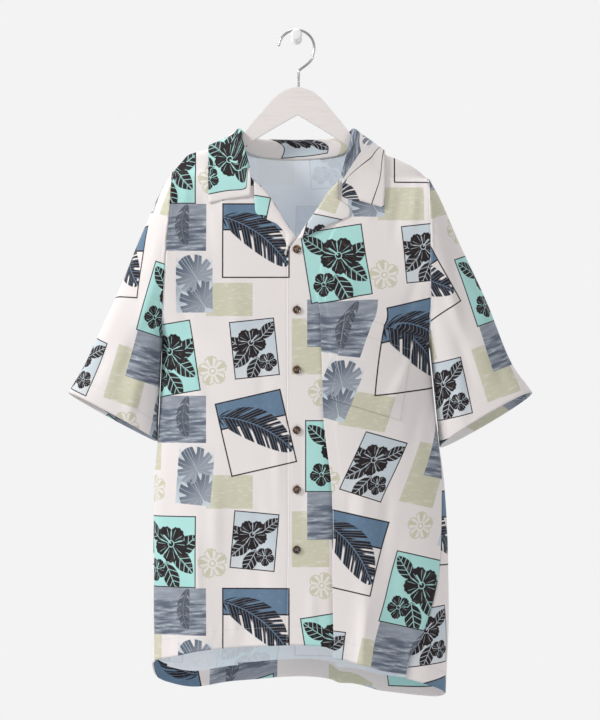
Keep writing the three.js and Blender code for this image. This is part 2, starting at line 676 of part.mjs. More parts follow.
// A thin closed wall from rows of points on its outer face. outward is 1 where the direction
// along a row crossed with the direction from row to row points out of the cloth, or else -1.
// Each seam keeps the wall from leaning across it: the axis that it faces, and its own side there.
function clothGeometry(rows, wall, outward, { ringed = false, seams = [] } = {}) {
  const height = rows.length;
  const width = rows[0].length;
  const wrap = (i) => (ringed ? (i + width) % width : THREE.MathUtils.clamp(i, 0, width - 1));
  const inner = rows.map((row, j) => row.map((point, i) => {
    const along = rows[j][wrap(i + 1)].clone().sub(rows[j][wrap(i - 1)]);
    const down = rows[Math.min(j + 1, height - 1)][i].clone().sub(rows[Math.max(j - 1, 0)][i]);
    const normal = along.cross(down).multiplyScalar(outward).normalize();
    seams.forEach(({ on, axis, side }) => {
      if (on(j, i) && normal[axis] * side > 0) normal[axis] = 0;
    });
    return point.clone().addScaledVector(normal.normalize(), -wall);
  }));
  const position = [...rows.flat(), ...inner.flat()].flatMap((point) => point.toArray());
  const layer = height * width;
  const index = [];
  const quad = (a, b, c, d) => index.push(a, b, c, a, c, d);
  const at = (j, i) => j * width + wrap(i);
  const columns = ringed ? width : width - 1;
  for (let j = 0; j < height - 1; j += 1) {
    for (let i = 0; i < columns; i += 1) {
      quad(at(j, i), at(j, i + 1), at(j + 1, i + 1), at(j + 1, i));
      quad(layer + at(j, i), layer + at(j + 1, i), layer + at(j + 1, i + 1), layer + at(j, i + 1));
    }
  }
  for (let i = 0; i < columns; i += 1) {
    quad(at(0, i + 1), at(0, i), layer + at(0, i), layer + at(0, i + 1));
    const [end, next] = [at(height - 1, i), at(height - 1, i + 1)];
    quad(end, next, layer + next, layer + end);
  }
  for (let j = 0; j < height - 1 && !ringed; j += 1) {
    quad(at(j, 0), at(j + 1, 0), layer + at(j + 1, 0), layer + at(j, 0));
    quad(at(j + 1, width - 1), at(j, width - 1), layer + at(j, width - 1), layer + at(j + 1, width - 1));
  }
  const geometry = new THREE.BufferGeometry();
  geometry.setAttribute('position', new THREE.Float32BufferAttribute(position, 3));
  geometry.setIndex(index);
  return closedGeometry(geometry);
}

function finish(colour, roughness, metalness = 0) {
  return new THREE.MeshStandardMaterial({ color: colour, roughness, metalness });
}

const shirt = new THREE.Group();

function add(name, geometry, material) {
  const mesh = new THREE.Mesh(geometry, material);
  mesh.name = name;
  shirt.add(mesh);
  return mesh;
}

// Turned about the Y axis from a profile of radius and depth
function turned(profile, sides) {
  const points = profile.map(([radius, y]) => new THREE.Vector2(radius, y));
  return closedGeometry(new THREE.LatheGeometry(points, sides));
}

function addButtons(material) {
  const { radius, rimRadius, dishRadius, thickness, edge, dish } = BUTTON;
  const body = [[0, 0], [radius, 0], [radius, -edge]];
  const face = [[rimRadius, -thickness], [dishRadius, -dish], [0, -dish]];
  BUTTON_HEIGHTS.forEach((z, i) => {
    const button = add(`button_${i + 1}`, turned([...body, ...face], BUTTON_SIDES), material);
    const seat = bodyPoint(frontAngle(BUTTON_X, z), z);
    const lift = STRIP_LIFT * smooth(-z, -STRIP_LIFT_FROM, -STRIP_LIFT_TO);
    button.position.set(BUTTON_X, seat.y - lift - BUTTON_GAP, z);
  });
}

// The wooden hanger, with the bore that takes the hook's stem
function hangerGeometry(wasm) {
  const { centreX: middle, thickness, bevel, boreX, boreRadius, boreDepth } = HANGER;
  const curveOf = (points) => new THREE.SplineCurve(points.map(([x, z]) => new THREE.Vector2(x, z)));
  const top = curveOf(HANGER_TOP).getPoints(16);
  const tip = [60, 20, -20, -60].map((degrees) => {
    const angle = THREE.MathUtils.degToRad(degrees);
    return new THREE.Vector2(
      HANGER_TIP.x + HANGER_TIP.radius * Math.cos(angle),
      HANGER_TIP.z + HANGER_TIP.radius * Math.sin(angle),
    );
  });
  const half = [...top, ...tip, ...curveOf(HANGER_UNDER).getPoints(10)];
  const other = half.slice(1, -1).reverse().map((point) => new THREE.Vector2(2 * middle - point.x, point.y));
  const board = new THREE.ExtrudeGeometry(new THREE.Shape([...half, ...other]), {
    depth: thickness - 2 * bevel,
    bevelThickness: bevel,
    bevelSize: bevel,
    bevelOffset: -bevel,
    bevelSegments: 1,
  });
  board.rotateX(Math.PI / 2).translate(0, (thickness - 2 * bevel) / 2, 0);
  const top0 = HANGER_TOP[0][1];
  board.translate(-middle, 0, -top0).rotateY(HANGER_TILT).translate(middle, 0, top0);
  const bore = new THREE.CylinderGeometry(boreRadius, boreRadius, 2 * boreDepth, 12);
  bore.rotateX(Math.PI / 2).translate(boreX, 0, top0);
  const solid = (geometry) => {
    const closed = closedGeometry(geometry);
    return new wasm.Manifold(new wasm.Mesh({
      numProp: 3,
      vertProperties: new Float32Array(closed.getAttribute('position').array),
      triVerts: new Uint32Array(closed.getIndex().array),
    }));
  };
  const cut = solid(board).subtract(solid(bore)).getMesh();
  const geometry = new THREE.BufferGeometry();
  geometry.setAttribute('position', new THREE.BufferAttribute(new Float32Array(cut.vertProperties), 3));
  geometry.setIndex(new THREE.BufferAttribute(new Uint32Array(cut.triVerts), 1));
  return closedGeometry(geometry);
}

// The bent steel hook, its crown's inside at the origin
function hookGeometry() {
  const { wire, radius, start, end, steps: count, sides } = HOOK;
  const centreZ = -(radius - wire);
  const arc = steps(14).map((share) => {
    const angle = THREE.MathUtils.degToRad(blend(start, end, share));
    return new THREE.Vector3(radius * Math.cos(angle), 0, centreZ + radius * Math.sin(angle));
  });
  const stem = HOOK_STEM.map(([x, z]) => new THREE.Vector3(x, 0, z));
  const section = new THREE.Shape(steps(sides).slice(1).map((share) => (
    new THREE.Vector2(wire * Math.cos(2 * Math.PI * share), wire * Math.sin(2 * Math.PI * share))
  )));
  const extrudePath = new THREE.CatmullRomCurve3([...arc, ...stem]);
  return closedGeometry(new THREE.ExtrudeGeometry(section, { steps: count, extrudePath }));
}

// The round peg: head, shaft and the flange that stands against the wall
function pegGeometry() {
  const { radius, headRadius, headFront, headBack, flange, flangeFront, wall } = PEG;
  const face = [[0, headFront], [headRadius - 2, headFront]];
  const head = [[headRadius, headFront + 2], [headRadius, headBack]];
  const shaft = [[radius, headBack + 1], [radius, flangeFront]];
  const foot = [[flange, flangeFront + 1], [flange, wall], [0, wall]];
  return turned([...face, ...head, ...shaft, ...foot], PEG_SIDES);
}

const wasm = await Module();
wasm.setup();

const cloth = finish(COLOURS.cloth, 0.75);
const lapel = finish(COLOURS.lapel, 0.75);
const leftFront = leftFrontRows();
const armholeRows = ARMHOLE_SHARES.length;
const atRidge = (side) => ({ on: (j) => j === 0, axis: 'y', side });
const atArmhole = (column, side) => ({ on: (j, i) => i === column && j < armholeRows, axis: 'x', side });
const rightSeams = [atRidge(-1), atArmhole(RIGHT_COLUMNS, 1)];
const leftSeams = [atRidge(-1), atArmhole(leftFront[0].length - 1, -1)];
const back = backRows();
const backSeams = [atRidge(1), atArmhole(0, -1), atArmhole(back[0].length - 1, 1)];
const sleeveSeam = (side) => [{ on: (j) => j === 0, axis: 'x', side }];
add('right_front', clothGeometry(rightFrontRows(), WALL, 1, { seams: rightSeams }), cloth);
add('left_front', clothGeometry(leftFront, WALL, -1, { seams: leftSeams }), cloth);
add('back', clothGeometry(back, WALL, -1, { seams: backSeams }), cloth);
const rightSleeve = sleeveRings(SLEEVES.right, 'right');
const leftSleeve = sleeveRings(SLEEVES.left, 'left');
add('right_sleeve', clothGeometry(rightSleeve, WALL, -1, { ringed: true, seams: sleeveSeam(-1) }), cloth);
add('left_sleeve', clothGeometry(leftSleeve, WALL, 1, { ringed: true, seams: sleeveSeam(1) }), cloth);
add('collar', clothGeometry(collarRows(), DOUBLE_WALL, -1), cloth);
add('right_facing', clothGeometry(lapelRows(RIGHT_LAPEL, false), DOUBLE_WALL, 1), lapel);
add('left_facing', clothGeometry(lapelRows(LEFT_LAPEL, true), DOUBLE_WALL, -1), lapel);
add('pocket', clothGeometry(pocketRows(leftFront), WALL, -1), cloth);
addButtons(finish(COLOURS.button, 0.35));

add('hanger_body', hangerGeometry(wasm), finish(COLOURS.wood, 0.5));
add('hanger_hook', hookGeometry(), finish(COLOURS.steel, 0.25, 1));

const peg = add('wall_peg', pegGeometry(), finish(COLOURS.peg, 0.4));
peg.position.z = -(PEG.radius + BEARING_GAP);

export default shirt;
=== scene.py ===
"""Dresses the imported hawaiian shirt: printed cloth, stitching, buttons, hanger, hook and peg.

The garment's sizes are in millimetres and its meshes in metres. Right and left are the wearer's:
right is -X, left is +X. The front faces -Y and the wall is on the +Y side.
"""

import logging
import math
from collections.abc import Callable, Sequence
from dataclasses import dataclass, field
from enum import Enum

import bmesh
import bpy
import numpy as np
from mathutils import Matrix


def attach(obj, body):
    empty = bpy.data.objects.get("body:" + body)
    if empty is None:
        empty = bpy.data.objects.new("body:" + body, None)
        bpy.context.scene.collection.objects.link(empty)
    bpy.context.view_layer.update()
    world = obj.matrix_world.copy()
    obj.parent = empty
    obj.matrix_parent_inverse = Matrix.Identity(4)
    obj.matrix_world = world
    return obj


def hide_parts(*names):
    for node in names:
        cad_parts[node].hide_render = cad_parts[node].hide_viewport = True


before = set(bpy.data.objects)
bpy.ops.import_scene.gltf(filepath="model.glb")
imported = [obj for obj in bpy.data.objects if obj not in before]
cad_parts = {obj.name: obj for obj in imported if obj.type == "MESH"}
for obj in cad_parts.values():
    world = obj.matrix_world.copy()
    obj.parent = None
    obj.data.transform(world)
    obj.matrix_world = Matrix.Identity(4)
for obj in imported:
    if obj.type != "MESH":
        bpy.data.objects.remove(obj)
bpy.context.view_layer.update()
ROOT = "root"
MM = 0.001
LOG = logging.getLogger("hawaiian_shirt")

Colour = tuple[float, float, float]
Grid = np.ndarray
Line = tuple[tuple[float, float], ...]
Piece = bpy.types.Object
Material = bpy.types.Material
ARMHOLE_TURNS = (90.012, 269.988)
UPRIGHT = (math.pi / 2, 0, 0)


class Side(Enum):
    """A side of the garment, as the wearer has it."""

    RIGHT = -1
    LEFT = 1


class Layer(Enum):
    """The finish of a cloth face: its slot among the piece's materials."""

    RIGHT_SIDE = 0
    WRONG_SIDE = 1


@dataclass(frozen=True)
class Table:
    """Rows of sizes with named columns.

    Args:
        columns: the columns' names, parted by spaces.
        rows: the rows' numbers, in the columns' order.
    """

    columns: str
    rows: tuple[tuple[float, ...], ...]

    def column(self, name: str) -> Grid:
        """One column's numbers."""
        return np.array([row[self.columns.split().index(name)] for row in self.rows], float)

    def track(self, source: str, target: str) -> "Track":
        """The smooth curve from one column to another."""
        return Track(self.column(source), self.column(target))


class Track:
    """A smooth curve through given numbers, which never overshoots them."""

    def __init__(self, xs: Sequence[float], ys: Sequence[float]) -> None:
        """Sorts the numbers and works out the slopes.

        Args:
            xs: where the curve is given.
            ys: its values there.
        """
        order = np.argsort(xs)
        self.xs = np.asarray(xs, float)[order]
        self.ys = np.asarray(ys, float)[order]
        rise = np.diff(self.ys) / np.diff(self.xs)
        before, after = rise[:-1], rise[1:]
        total = before + after
        inner = np.where(before * after > 0, 2 * before * after / np.where(total == 0, 1, total), 0)
        self.slopes = np.concatenate([rise[:1], inner, rise[-1:]])

    def __call__(self, value: Grid | float) -> Grid:
        """The curve's height at each value, held at its ends."""
        x = np.clip(value, self.xs[0], self.xs[-1])
        i = np.clip(np.searchsorted(self.xs, x) - 1, 0, len(self.xs) - 2)
        width = self.xs[i + 1] - self.xs[i]
        t = (x - self.xs[i]) / width
        start = (1 + 2 * t) * (1 - t) ** 2 * self.ys[i] + t * (1 - t) ** 2 * width * self.slopes[i]
        end = t * t * (3 - 2 * t) * self.ys[i + 1] + t * t * (t - 1) * width * self.slopes[i + 1]
        return start + end


def blend(start: Grid | float, end: Grid | float, share: Grid | float) -> Grid:
    """The value that lies a share of the way from start to end."""
    return start + (end - start) * share


def smooth(value: Grid | float, low: float, high: float) -> Grid:
    """Rises softly from 0 at low to 1 at high."""
    t = np.clip((value - low) / (high - low), 0, 1)
    return t * t * (3 - 2 * t)


def signed_power(value: Grid, power: float) -> Grid:
    """A power that keeps the sign."""
    return np.sign(value) * np.abs(value) ** power


def unit(vectors: Grid) -> Grid:
    """The same directions, one long."""
    length = np.linalg.norm(vectors, axis=-1, keepdims=True)
    return vectors / np.where(length == 0, 1, length)


def even_places(measure: Grid, count: int) -> Grid:
    """Places in a rising measure at equal steps of it, as places along its own index."""
    return np.interp(np.linspace(measure[0], measure[-1], count), measure, np.linspace(0, 1, len(measure)))


def near(distance: Grid, width: float) -> Grid:
    """1 where the distance is 0, fading to nothing over about two widths."""
    return np.exp(-((distance / width) ** 2))


def running(steps: Grid, axis: int = 0) -> Grid:
    """The sum of the steps before each place, from 0."""
    return np.concatenate([np.zeros_like(np.take(steps, [0], axis)), np.cumsum(steps, axis)], axis)


def path_run(places: Grid) -> Grid:
    """Distances along a line of places, from its start."""
    return running(np.linalg.norm(np.diff(places, axis=0), axis=1))


def between(at: Grid | float, run: Grid, rows: Grid) -> Grid:
    """Rows of numbers between the given ones, at the given distances."""
    return np.stack([np.interp(at, run, rows[:, k]) for k in range(rows.shape[1])], -1)


def span(count: int) -> Grid:
    """A row of even shares from 0 to 1."""
    return np.linspace(0, 1, count)[None]


def spin(across: float, up: float, turn: float) -> tuple[float, float]:
    """A flat place turned about the middle, the angle in radians."""
    c, s = math.cos(turn), math.sin(turn)
    return across * c + up * s, up * c - across * s


# Sizes of the garment, as in the part's source
WALL = 1.2
DOUBLE_WALL = 1.7
SEAM_GAP = 0.35
SEAM_TRIM = 0.12
ROUNDNESS = 2.6
RIDGE_RADIUS = 9
FALL = 75
TIP_X = {Side.RIGHT: -177.0, Side.LEFT: 188.0}
UNDERARM_Z = -447.5
ARMHOLE_DEPTH = 42
ARMHOLE_ROUNDNESS = 2.2
STRIP_LIFT = 2.7
STRIP_LIFT_FROM = -250
STRIP_LIFT_TO = -310
LAP_SPAN, LAP_SWING, LAP_HEIGHT, LAP_FADE = 22, 11, 8, 150
FOLD_TOP, FOLD_RUN, FOLD_HEM = -200, 700, -930
SEAM_SINK, SEAM_WIDTH = 0.7, 1.6
HEM_GROOVE, HEM_GROOVE_WIDTH = 0.4, 1.3

BODY = Table(
    "z right left front back",
    (
        (-200, -177, 188, 46, 43), (-241, -179, 189.5, 46, 43), (-302, -185, 191, 48, 44),
        (-385, -190, 191.5, 50, 46), (-447, -193, 190.5, 51, 47), (-508, -195.5, 195.5, 52, 48),
        (-588, -199.5, 204, 53, 49), (-655, -205, 213, 54, 50), (-754, -206, 218, 55, 50),
        (-841, -208, 219, 56, 50), (-960, -207, 214, 57, 50),
    ),
)
RIDGE = Table(
    "x z",
    (
        (-177, -201), (-165, -187), (-156, -177.5), (-125, -168), (-101, -157), (-88, -151),
        (0, -147), (88, -152), (101, -158), (129, -177.5), (141, -182), (171, -197), (188, -211.5),
    ),
)
SIDE_SEAMS = Table(
    "z right left",
    (
        (-447, -90, 90), (-600, -90, 86), (-673, -89, 75), (-768, -83, 67), (-869, -78, 49.5),
        (-902, -77, 42), (-960, -77, 39),
    ),
)
RIGHT_EDGE = Table(
    "z x",
    (
        (-151, -88), (-170, -83), (-190, -76), (-208, -68), (-232, -43), (-268, -20), (-295, -3),
        (-312, 9), (-330, 14), (-890, 15),
    ),
)
LEFT_EDGE = Table(
    "z x",
    (
        (-152, 88), (-172, 83), (-191, 77), (-206, 70), (-232, 46), (-252, 33), (-269, 21),
        (-288, 8), (-300, 1), (-312, -8), (-326, -13), (-373, -14), (-730, -12.5), (-890, -16),
    ),
)
BACK_NECK = Table(
    "x z",
    (
        (-88, -151), (-86, -162), (-78, -170), (-66, -178), (-36, -183), (0, -185), (36, -183),
        (66, -178), (78, -170), (86, -162), (88, -152),
    ),
)
RIGHT_HEM = Table("angle z", ((-90, -908), (-77, -904), (-54, -897), (-35, -887), (-17, -882), (8, -877)))
LEFT_HEM = Table("angle z", ((-6, -877), (5.5, -881), (11.5, -898), (21, -908), (29, -916), (50, -926)))
BACK_HEM = Table(
    "angle z",
    (
        (38, -926), (60, -939), (90, -953), (115, -960), (150, -955), (165, -943), (169, -942),
        (172, -937), (180, -934), (200, -940), (220, -947), (240, -940), (258, -928), (270, -913),
        (284, -905),
    ),
)
FOLD_COLUMNS = "top hem width height start"
FRONT_FOLDS = Table(
    FOLD_COLUMNS,
    (
        (-172, -186, 12, -5, -420), (-150, -138, 20, 7, -560), (-96, -78, 24, -5, -520),
        (128, 96, 16, 7, -640), (160, 150, 20, -6, -600),
    ),
)
BACK_FOLDS = Table(
    FOLD_COLUMNS,
    (
        (-150, -150, 24, -8, -320), (-92, -104, 22, 5, -360), (-38, -52, 24, -7, -300),
        (22, 8, 22, 5, -420), (66, 62, 22, -8, -340), (118, 124, 24, 5, -380),
        (158, 176, 18, -6, -450), (50, 57, 6, -4, -700),
    ),
)
LAP_FOLD = Table(
    "z x size",
    (
        (-152, 110, 0), (-206, 90, 0), (-252, 54, 0), (-288, 32, 0), (-320, 23, 0),
        (-402, 32, 0.45), (-530, 36, 0.75), (-659, 50, 0.95), (-759, 51, 1), (-890, 54, 1),
    ),
)
ARMHOLE_SHARES = (0, 0.012, 0.04, 0.105, 0.205, 0.345, 0.5, 0.655, 0.795, 0.895, 0.96, 0.988, 1)
INNER_DROPS = (0, 2.6, 9, 24, 42, 62, 84, 107, 130, 151, 172, 200, 238)
SIDE_ROWS = 11
COLLAR_BEND = 2.5

# Creases of the cloth: where they start and end, half width and height, in millimetres
CREASE_SCALE, CREASE_BOW, CREASE_FADE = 2.2, 0.12, 1.5
CREASE_COLUMNS = "x0 z0 x1 z1 width height"
FRONT_CREASES = Table(
    CREASE_COLUMNS,
    (
        (-158, -200, -168, -330, 7, 2.2), (-140, -215, -120, -330, 10, -1.6),
        (-120, -185, -88, -300, 9, 1.2), (-176, -330, -150, -450, 8, -1.8),
        (-170, -440, -120, -560, 9, 1.7), (-188, -470, -150, -600, 8, -1.5),
        (-100, -330, -70, -480, 12, 0.9), (-60, -420, -40, -560, 9, -0.9),
        (-120, -620, -112, -780, 10, 1.5), (-148, -690, -137, -860, 8, 1.9),
        (-60, -640, -48, -850, 11, -1.2), (-30, -520, -22, -720, 7, 0.8),
        (-90, -780, -84, -890, 9, 1.3), (172, -205, 166, -300, 7, 2.2),
        (150, -205, 140, -320, 9, -1.5), (120, -190, 100, -290, 8, 1.1),
        (182, -330, 150, -430, 8, -1.8), (178, -440, 120, -570, 10, 1.8),
        (190, -480, 160, -620, 9, -1.6), (82, -330, 70, -420, 9, 0.9),
        (100, -580, 92, -740, 11, 1.3), (132, -620, 120, -800, 10, -1.4),
        (98, -800, 92, -935, 8, 2.0), (160, -700, 140, -900, 11, 1.2),
        (18, -650, 20, -750, 5, 1.0), (4, -560, 12, -690, 6, -0.6), (20, -780, 24, -885, 6, 0.9),
        (70, -640, 74, -760, 9, -1.1),
    ),
)
BACK_CREASES = Table(
    CREASE_COLUMNS,
    (
        (-160, -215, -150, -360, 9, 2.0), (-130, -200, -100, -340, 11, -1.4),
        (165, -225, 150, -370, 9, 1.9), (130, -210, 96, -350, 12, -1.3),
        (-60, -230, -40, -420, 14, 1.1), (40, -240, 55, -460, 12, -1.2),
        (-182, -440, -130, -580, 10, 1.9), (182, -450, 140, -600, 10, 1.8),
        (-90, -520, -70, -720, 12, 1.3), (-20, -560, -6, -800, 14, -1.3),
        (90, -560, 100, -760, 13, 1.3), (-150, -700, -140, -880, 9, 1.6),
        (130, -740, 140, -920, 10, -1.6), (30, -780, 34, -930, 9, 1.4),
        (-60, -800, -66, -935, 9, -1.2), (-120, -380, -80, -470, 10, -1.0),
    ),
)


class Body:
    """The form that the garment's body hangs in."""

    def __init__(self) -> None:
        """Makes the curves that the sizes run along."""
        names = ("right", "left", "front", "back")
        self.right_side, self.left_side, self.front, self.back = (BODY.track("z", name) for name in names)
        self.right_seam, self.left_seam = (SIDE_SEAMS.track("z", name) for name in names[:2])
        self.lap_edge, self.lap_size = (LAP_FOLD.track("z", name) for name in ("x", "size"))
        self.ridge = RIDGE.track("x", "z")
        self.back_neck = BACK_NECK.track("x", "z")

    def centre(self, z: Grid) -> Grid:
        """The middle of the garment's width at a height."""
        return (self.right_side(z) + self.left_side(z)) / 2

    def half_width(self, z: Grid) -> Grid:
        """Half of the garment's width at a height."""
        return (self.left_side(z) - self.right_side(z)) / 2

    def armhole_depth(self, side: Side, z: Grid) -> Grid:
        """Half of the armhole's size from front to back at a height."""
        top = self.ridge(TIP_X[side])
        share = np.abs(z - (top + UNDERARM_Z) / 2) / ((top - UNDERARM_Z) / 2)
        round_share = np.clip(1 - np.clip(share, 0, 1) ** ARMHOLE_ROUNDNESS, 0, 1)
        return ARMHOLE_DEPTH * round_share ** (1 / ARMHOLE_ROUNDNESS)

    def folds(self, table: Table, x: Grid, z: Grid) -> Grid:
        """The height of the long soft folds."""
        total = np.zeros(np.broadcast(x, z).shape)
        for top, hem, width, height, start in table.rows:
            grown = smooth(start - z, 0, start - FOLD_HEM)
            middle = blend(top, hem, np.clip((FOLD_TOP - z) / FOLD_RUN, 0, 1))
            total += height * grown * near(x - middle, width)
        return total

    def creases(self, table: Table, x: Grid, z: Grid) -> Grid:
        """The height of the short creases, each one fading at its ends."""
        total = np.zeros(np.broadcast(x, z).shape)
        for x0, z0, x1, z1, width, height in table.rows:
            along = np.array([x1 - x0, z1 - z0])
            length = np.hypot(*along)
            px, pz = x - x0, z - z0
            share = (px * along[0] + pz * along[1]) / length**2
            bow = CREASE_BOW * width * np.sin(np.clip(share, 0, 1) * math.pi * 2)
            off = (px * along[1] - pz * along[0]) / length + bow
            fade = np.sin(np.clip(share, 0, 1) * math.pi) ** CREASE_FADE
            total += CREASE_SCALE * height * fade * near(off, width)
        return total

    def full_depth(self, x: Grid, z: Grid, in_front: Grid) -> Grid:
        """The cloth's depth before its sides close in.

        Args:
            x, z: place across the garment and its height.
            in_front: true where the place is on the front.

        Returns:
            The distance from the hanger's middle plane.
        """
        drop = np.maximum(self.ridge(x) - z, 0)
        bend = np.sqrt(1 - (1 - np.minimum(drop, RIDGE_RADIUS) / RIDGE_RADIUS) ** 2)
        depth = np.where(in_front, self.front(z), self.back(z))
        slope = 1 - np.exp(-drop / FALL)
        folds = np.where(in_front, self.folds(FRONT_FOLDS, x, z), self.folds(BACK_FOLDS, x, z))
        creases = np.where(in_front, self.creases(FRONT_CREASES, x, z), self.creases(BACK_CREASES, x, z))
        return RIDGE_RADIUS * bend + (depth - RIDGE_RADIUS) * slope + folds + creases * smooth(drop, 4, 30)

    def point(self, degrees: Grid, z: Grid) -> Grid:
        """Places on the body's outer face.

        Args:
            degrees: angle round the body, 0 in front, 90 on the wearer's left.
            z: height.

        Returns:
            The places' x, y and z along the last axis.
        """
        angle = np.radians(degrees)
        across = signed_power(np.sin(angle), 2 / ROUNDNESS)
        inwards = signed_power(np.cos(angle), 2 / ROUNDNESS)
        z = np.broadcast_to(z, across.shape)
        x = self.centre(z) + self.half_width(z) * across
        edge = np.where(across < 0, self.armhole_depth(Side.RIGHT, z), self.armhole_depth(Side.LEFT, z))
        gentle = 1 - np.abs(across) ** 3
        closing = blend(np.abs(inwards), gentle, edge / ARMHOLE_DEPTH)
        depth = edge + (self.full_depth(x, z, inwards > 0) - edge) * closing
        return np.stack([x, -np.sign(inwards) * (depth + SEAM_GAP / 2), z], -1)

    def front_angle(self, x: Grid, z: Grid) -> Grid:
        """The angle round the front at which the body passes a place across it."""
        share = np.clip((x - self.centre(z)) / self.half_width(z), -1, 1)
        return np.degrees(np.arcsin(signed_power(share, ROUNDNESS / 2)))

    def lap_middle(self, z: Grid) -> Grid:
        """The middle of the long fold's section beside the button strip."""
        return self.lap_edge(z) + (LAP_SWING - LAP_SPAN / 4) * self.lap_size(z)

    def left_lift(self, x: Grid, z: Grid) -> Grid:
        """How far the left front stands off the body's plain form."""
        strip = STRIP_LIFT * smooth(STRIP_LIFT_FROM - z, 0, STRIP_LIFT_FROM - STRIP_LIFT_TO)
        past = x - self.lap_middle(z) - LAP_SPAN / 2
        return (strip + LAP_HEIGHT * self.lap_size(z)) * (1 - smooth(past, 0, LAP_FADE))

    def on_front(self, x: Grid, z: Grid, side: Side, lift: Grid | float) -> Grid:
        """Places on a front's outer face, with what lies on it lifted off.

        Args:
            x, z: place across the garment and its height.
            side: which front.
            lift: how far off the cloth.

        Returns:
            The places.
        """
        place = self.point(self.front_angle(x, z), z)
        if side is Side.LEFT:
            lift = lift + self.left_lift(np.maximum(x, self.lap_middle(z)), z)
        place[..., 1] -= lift
        return place

    def over(self, x: Grid, drop: Grid, height: Grid | float) -> Grid:
        """Places over the body's outer face near the shoulders.

        Args:
            x: place across the garment.
            drop: how far below the ridge, positive behind and negative in front.
            height: how far off the cloth.

        Returns:
            The places.
        """

        def face(px: Grid, pdrop: Grid) -> Grid:
            z = self.ridge(px) - np.abs(pdrop)
            angle = self.front_angle(px, z)
            return self.point(np.where(pdrop < 0, angle, 180 - angle), z)

        nudge = 0.8
        along = face(x + nudge, drop) - face(x - nudge, drop)
        down = face(x, drop + nudge) - face(x, drop - nudge)
        return face(x, drop) + unit(np.cross(along, down)) * np.asarray(height)[..., None]


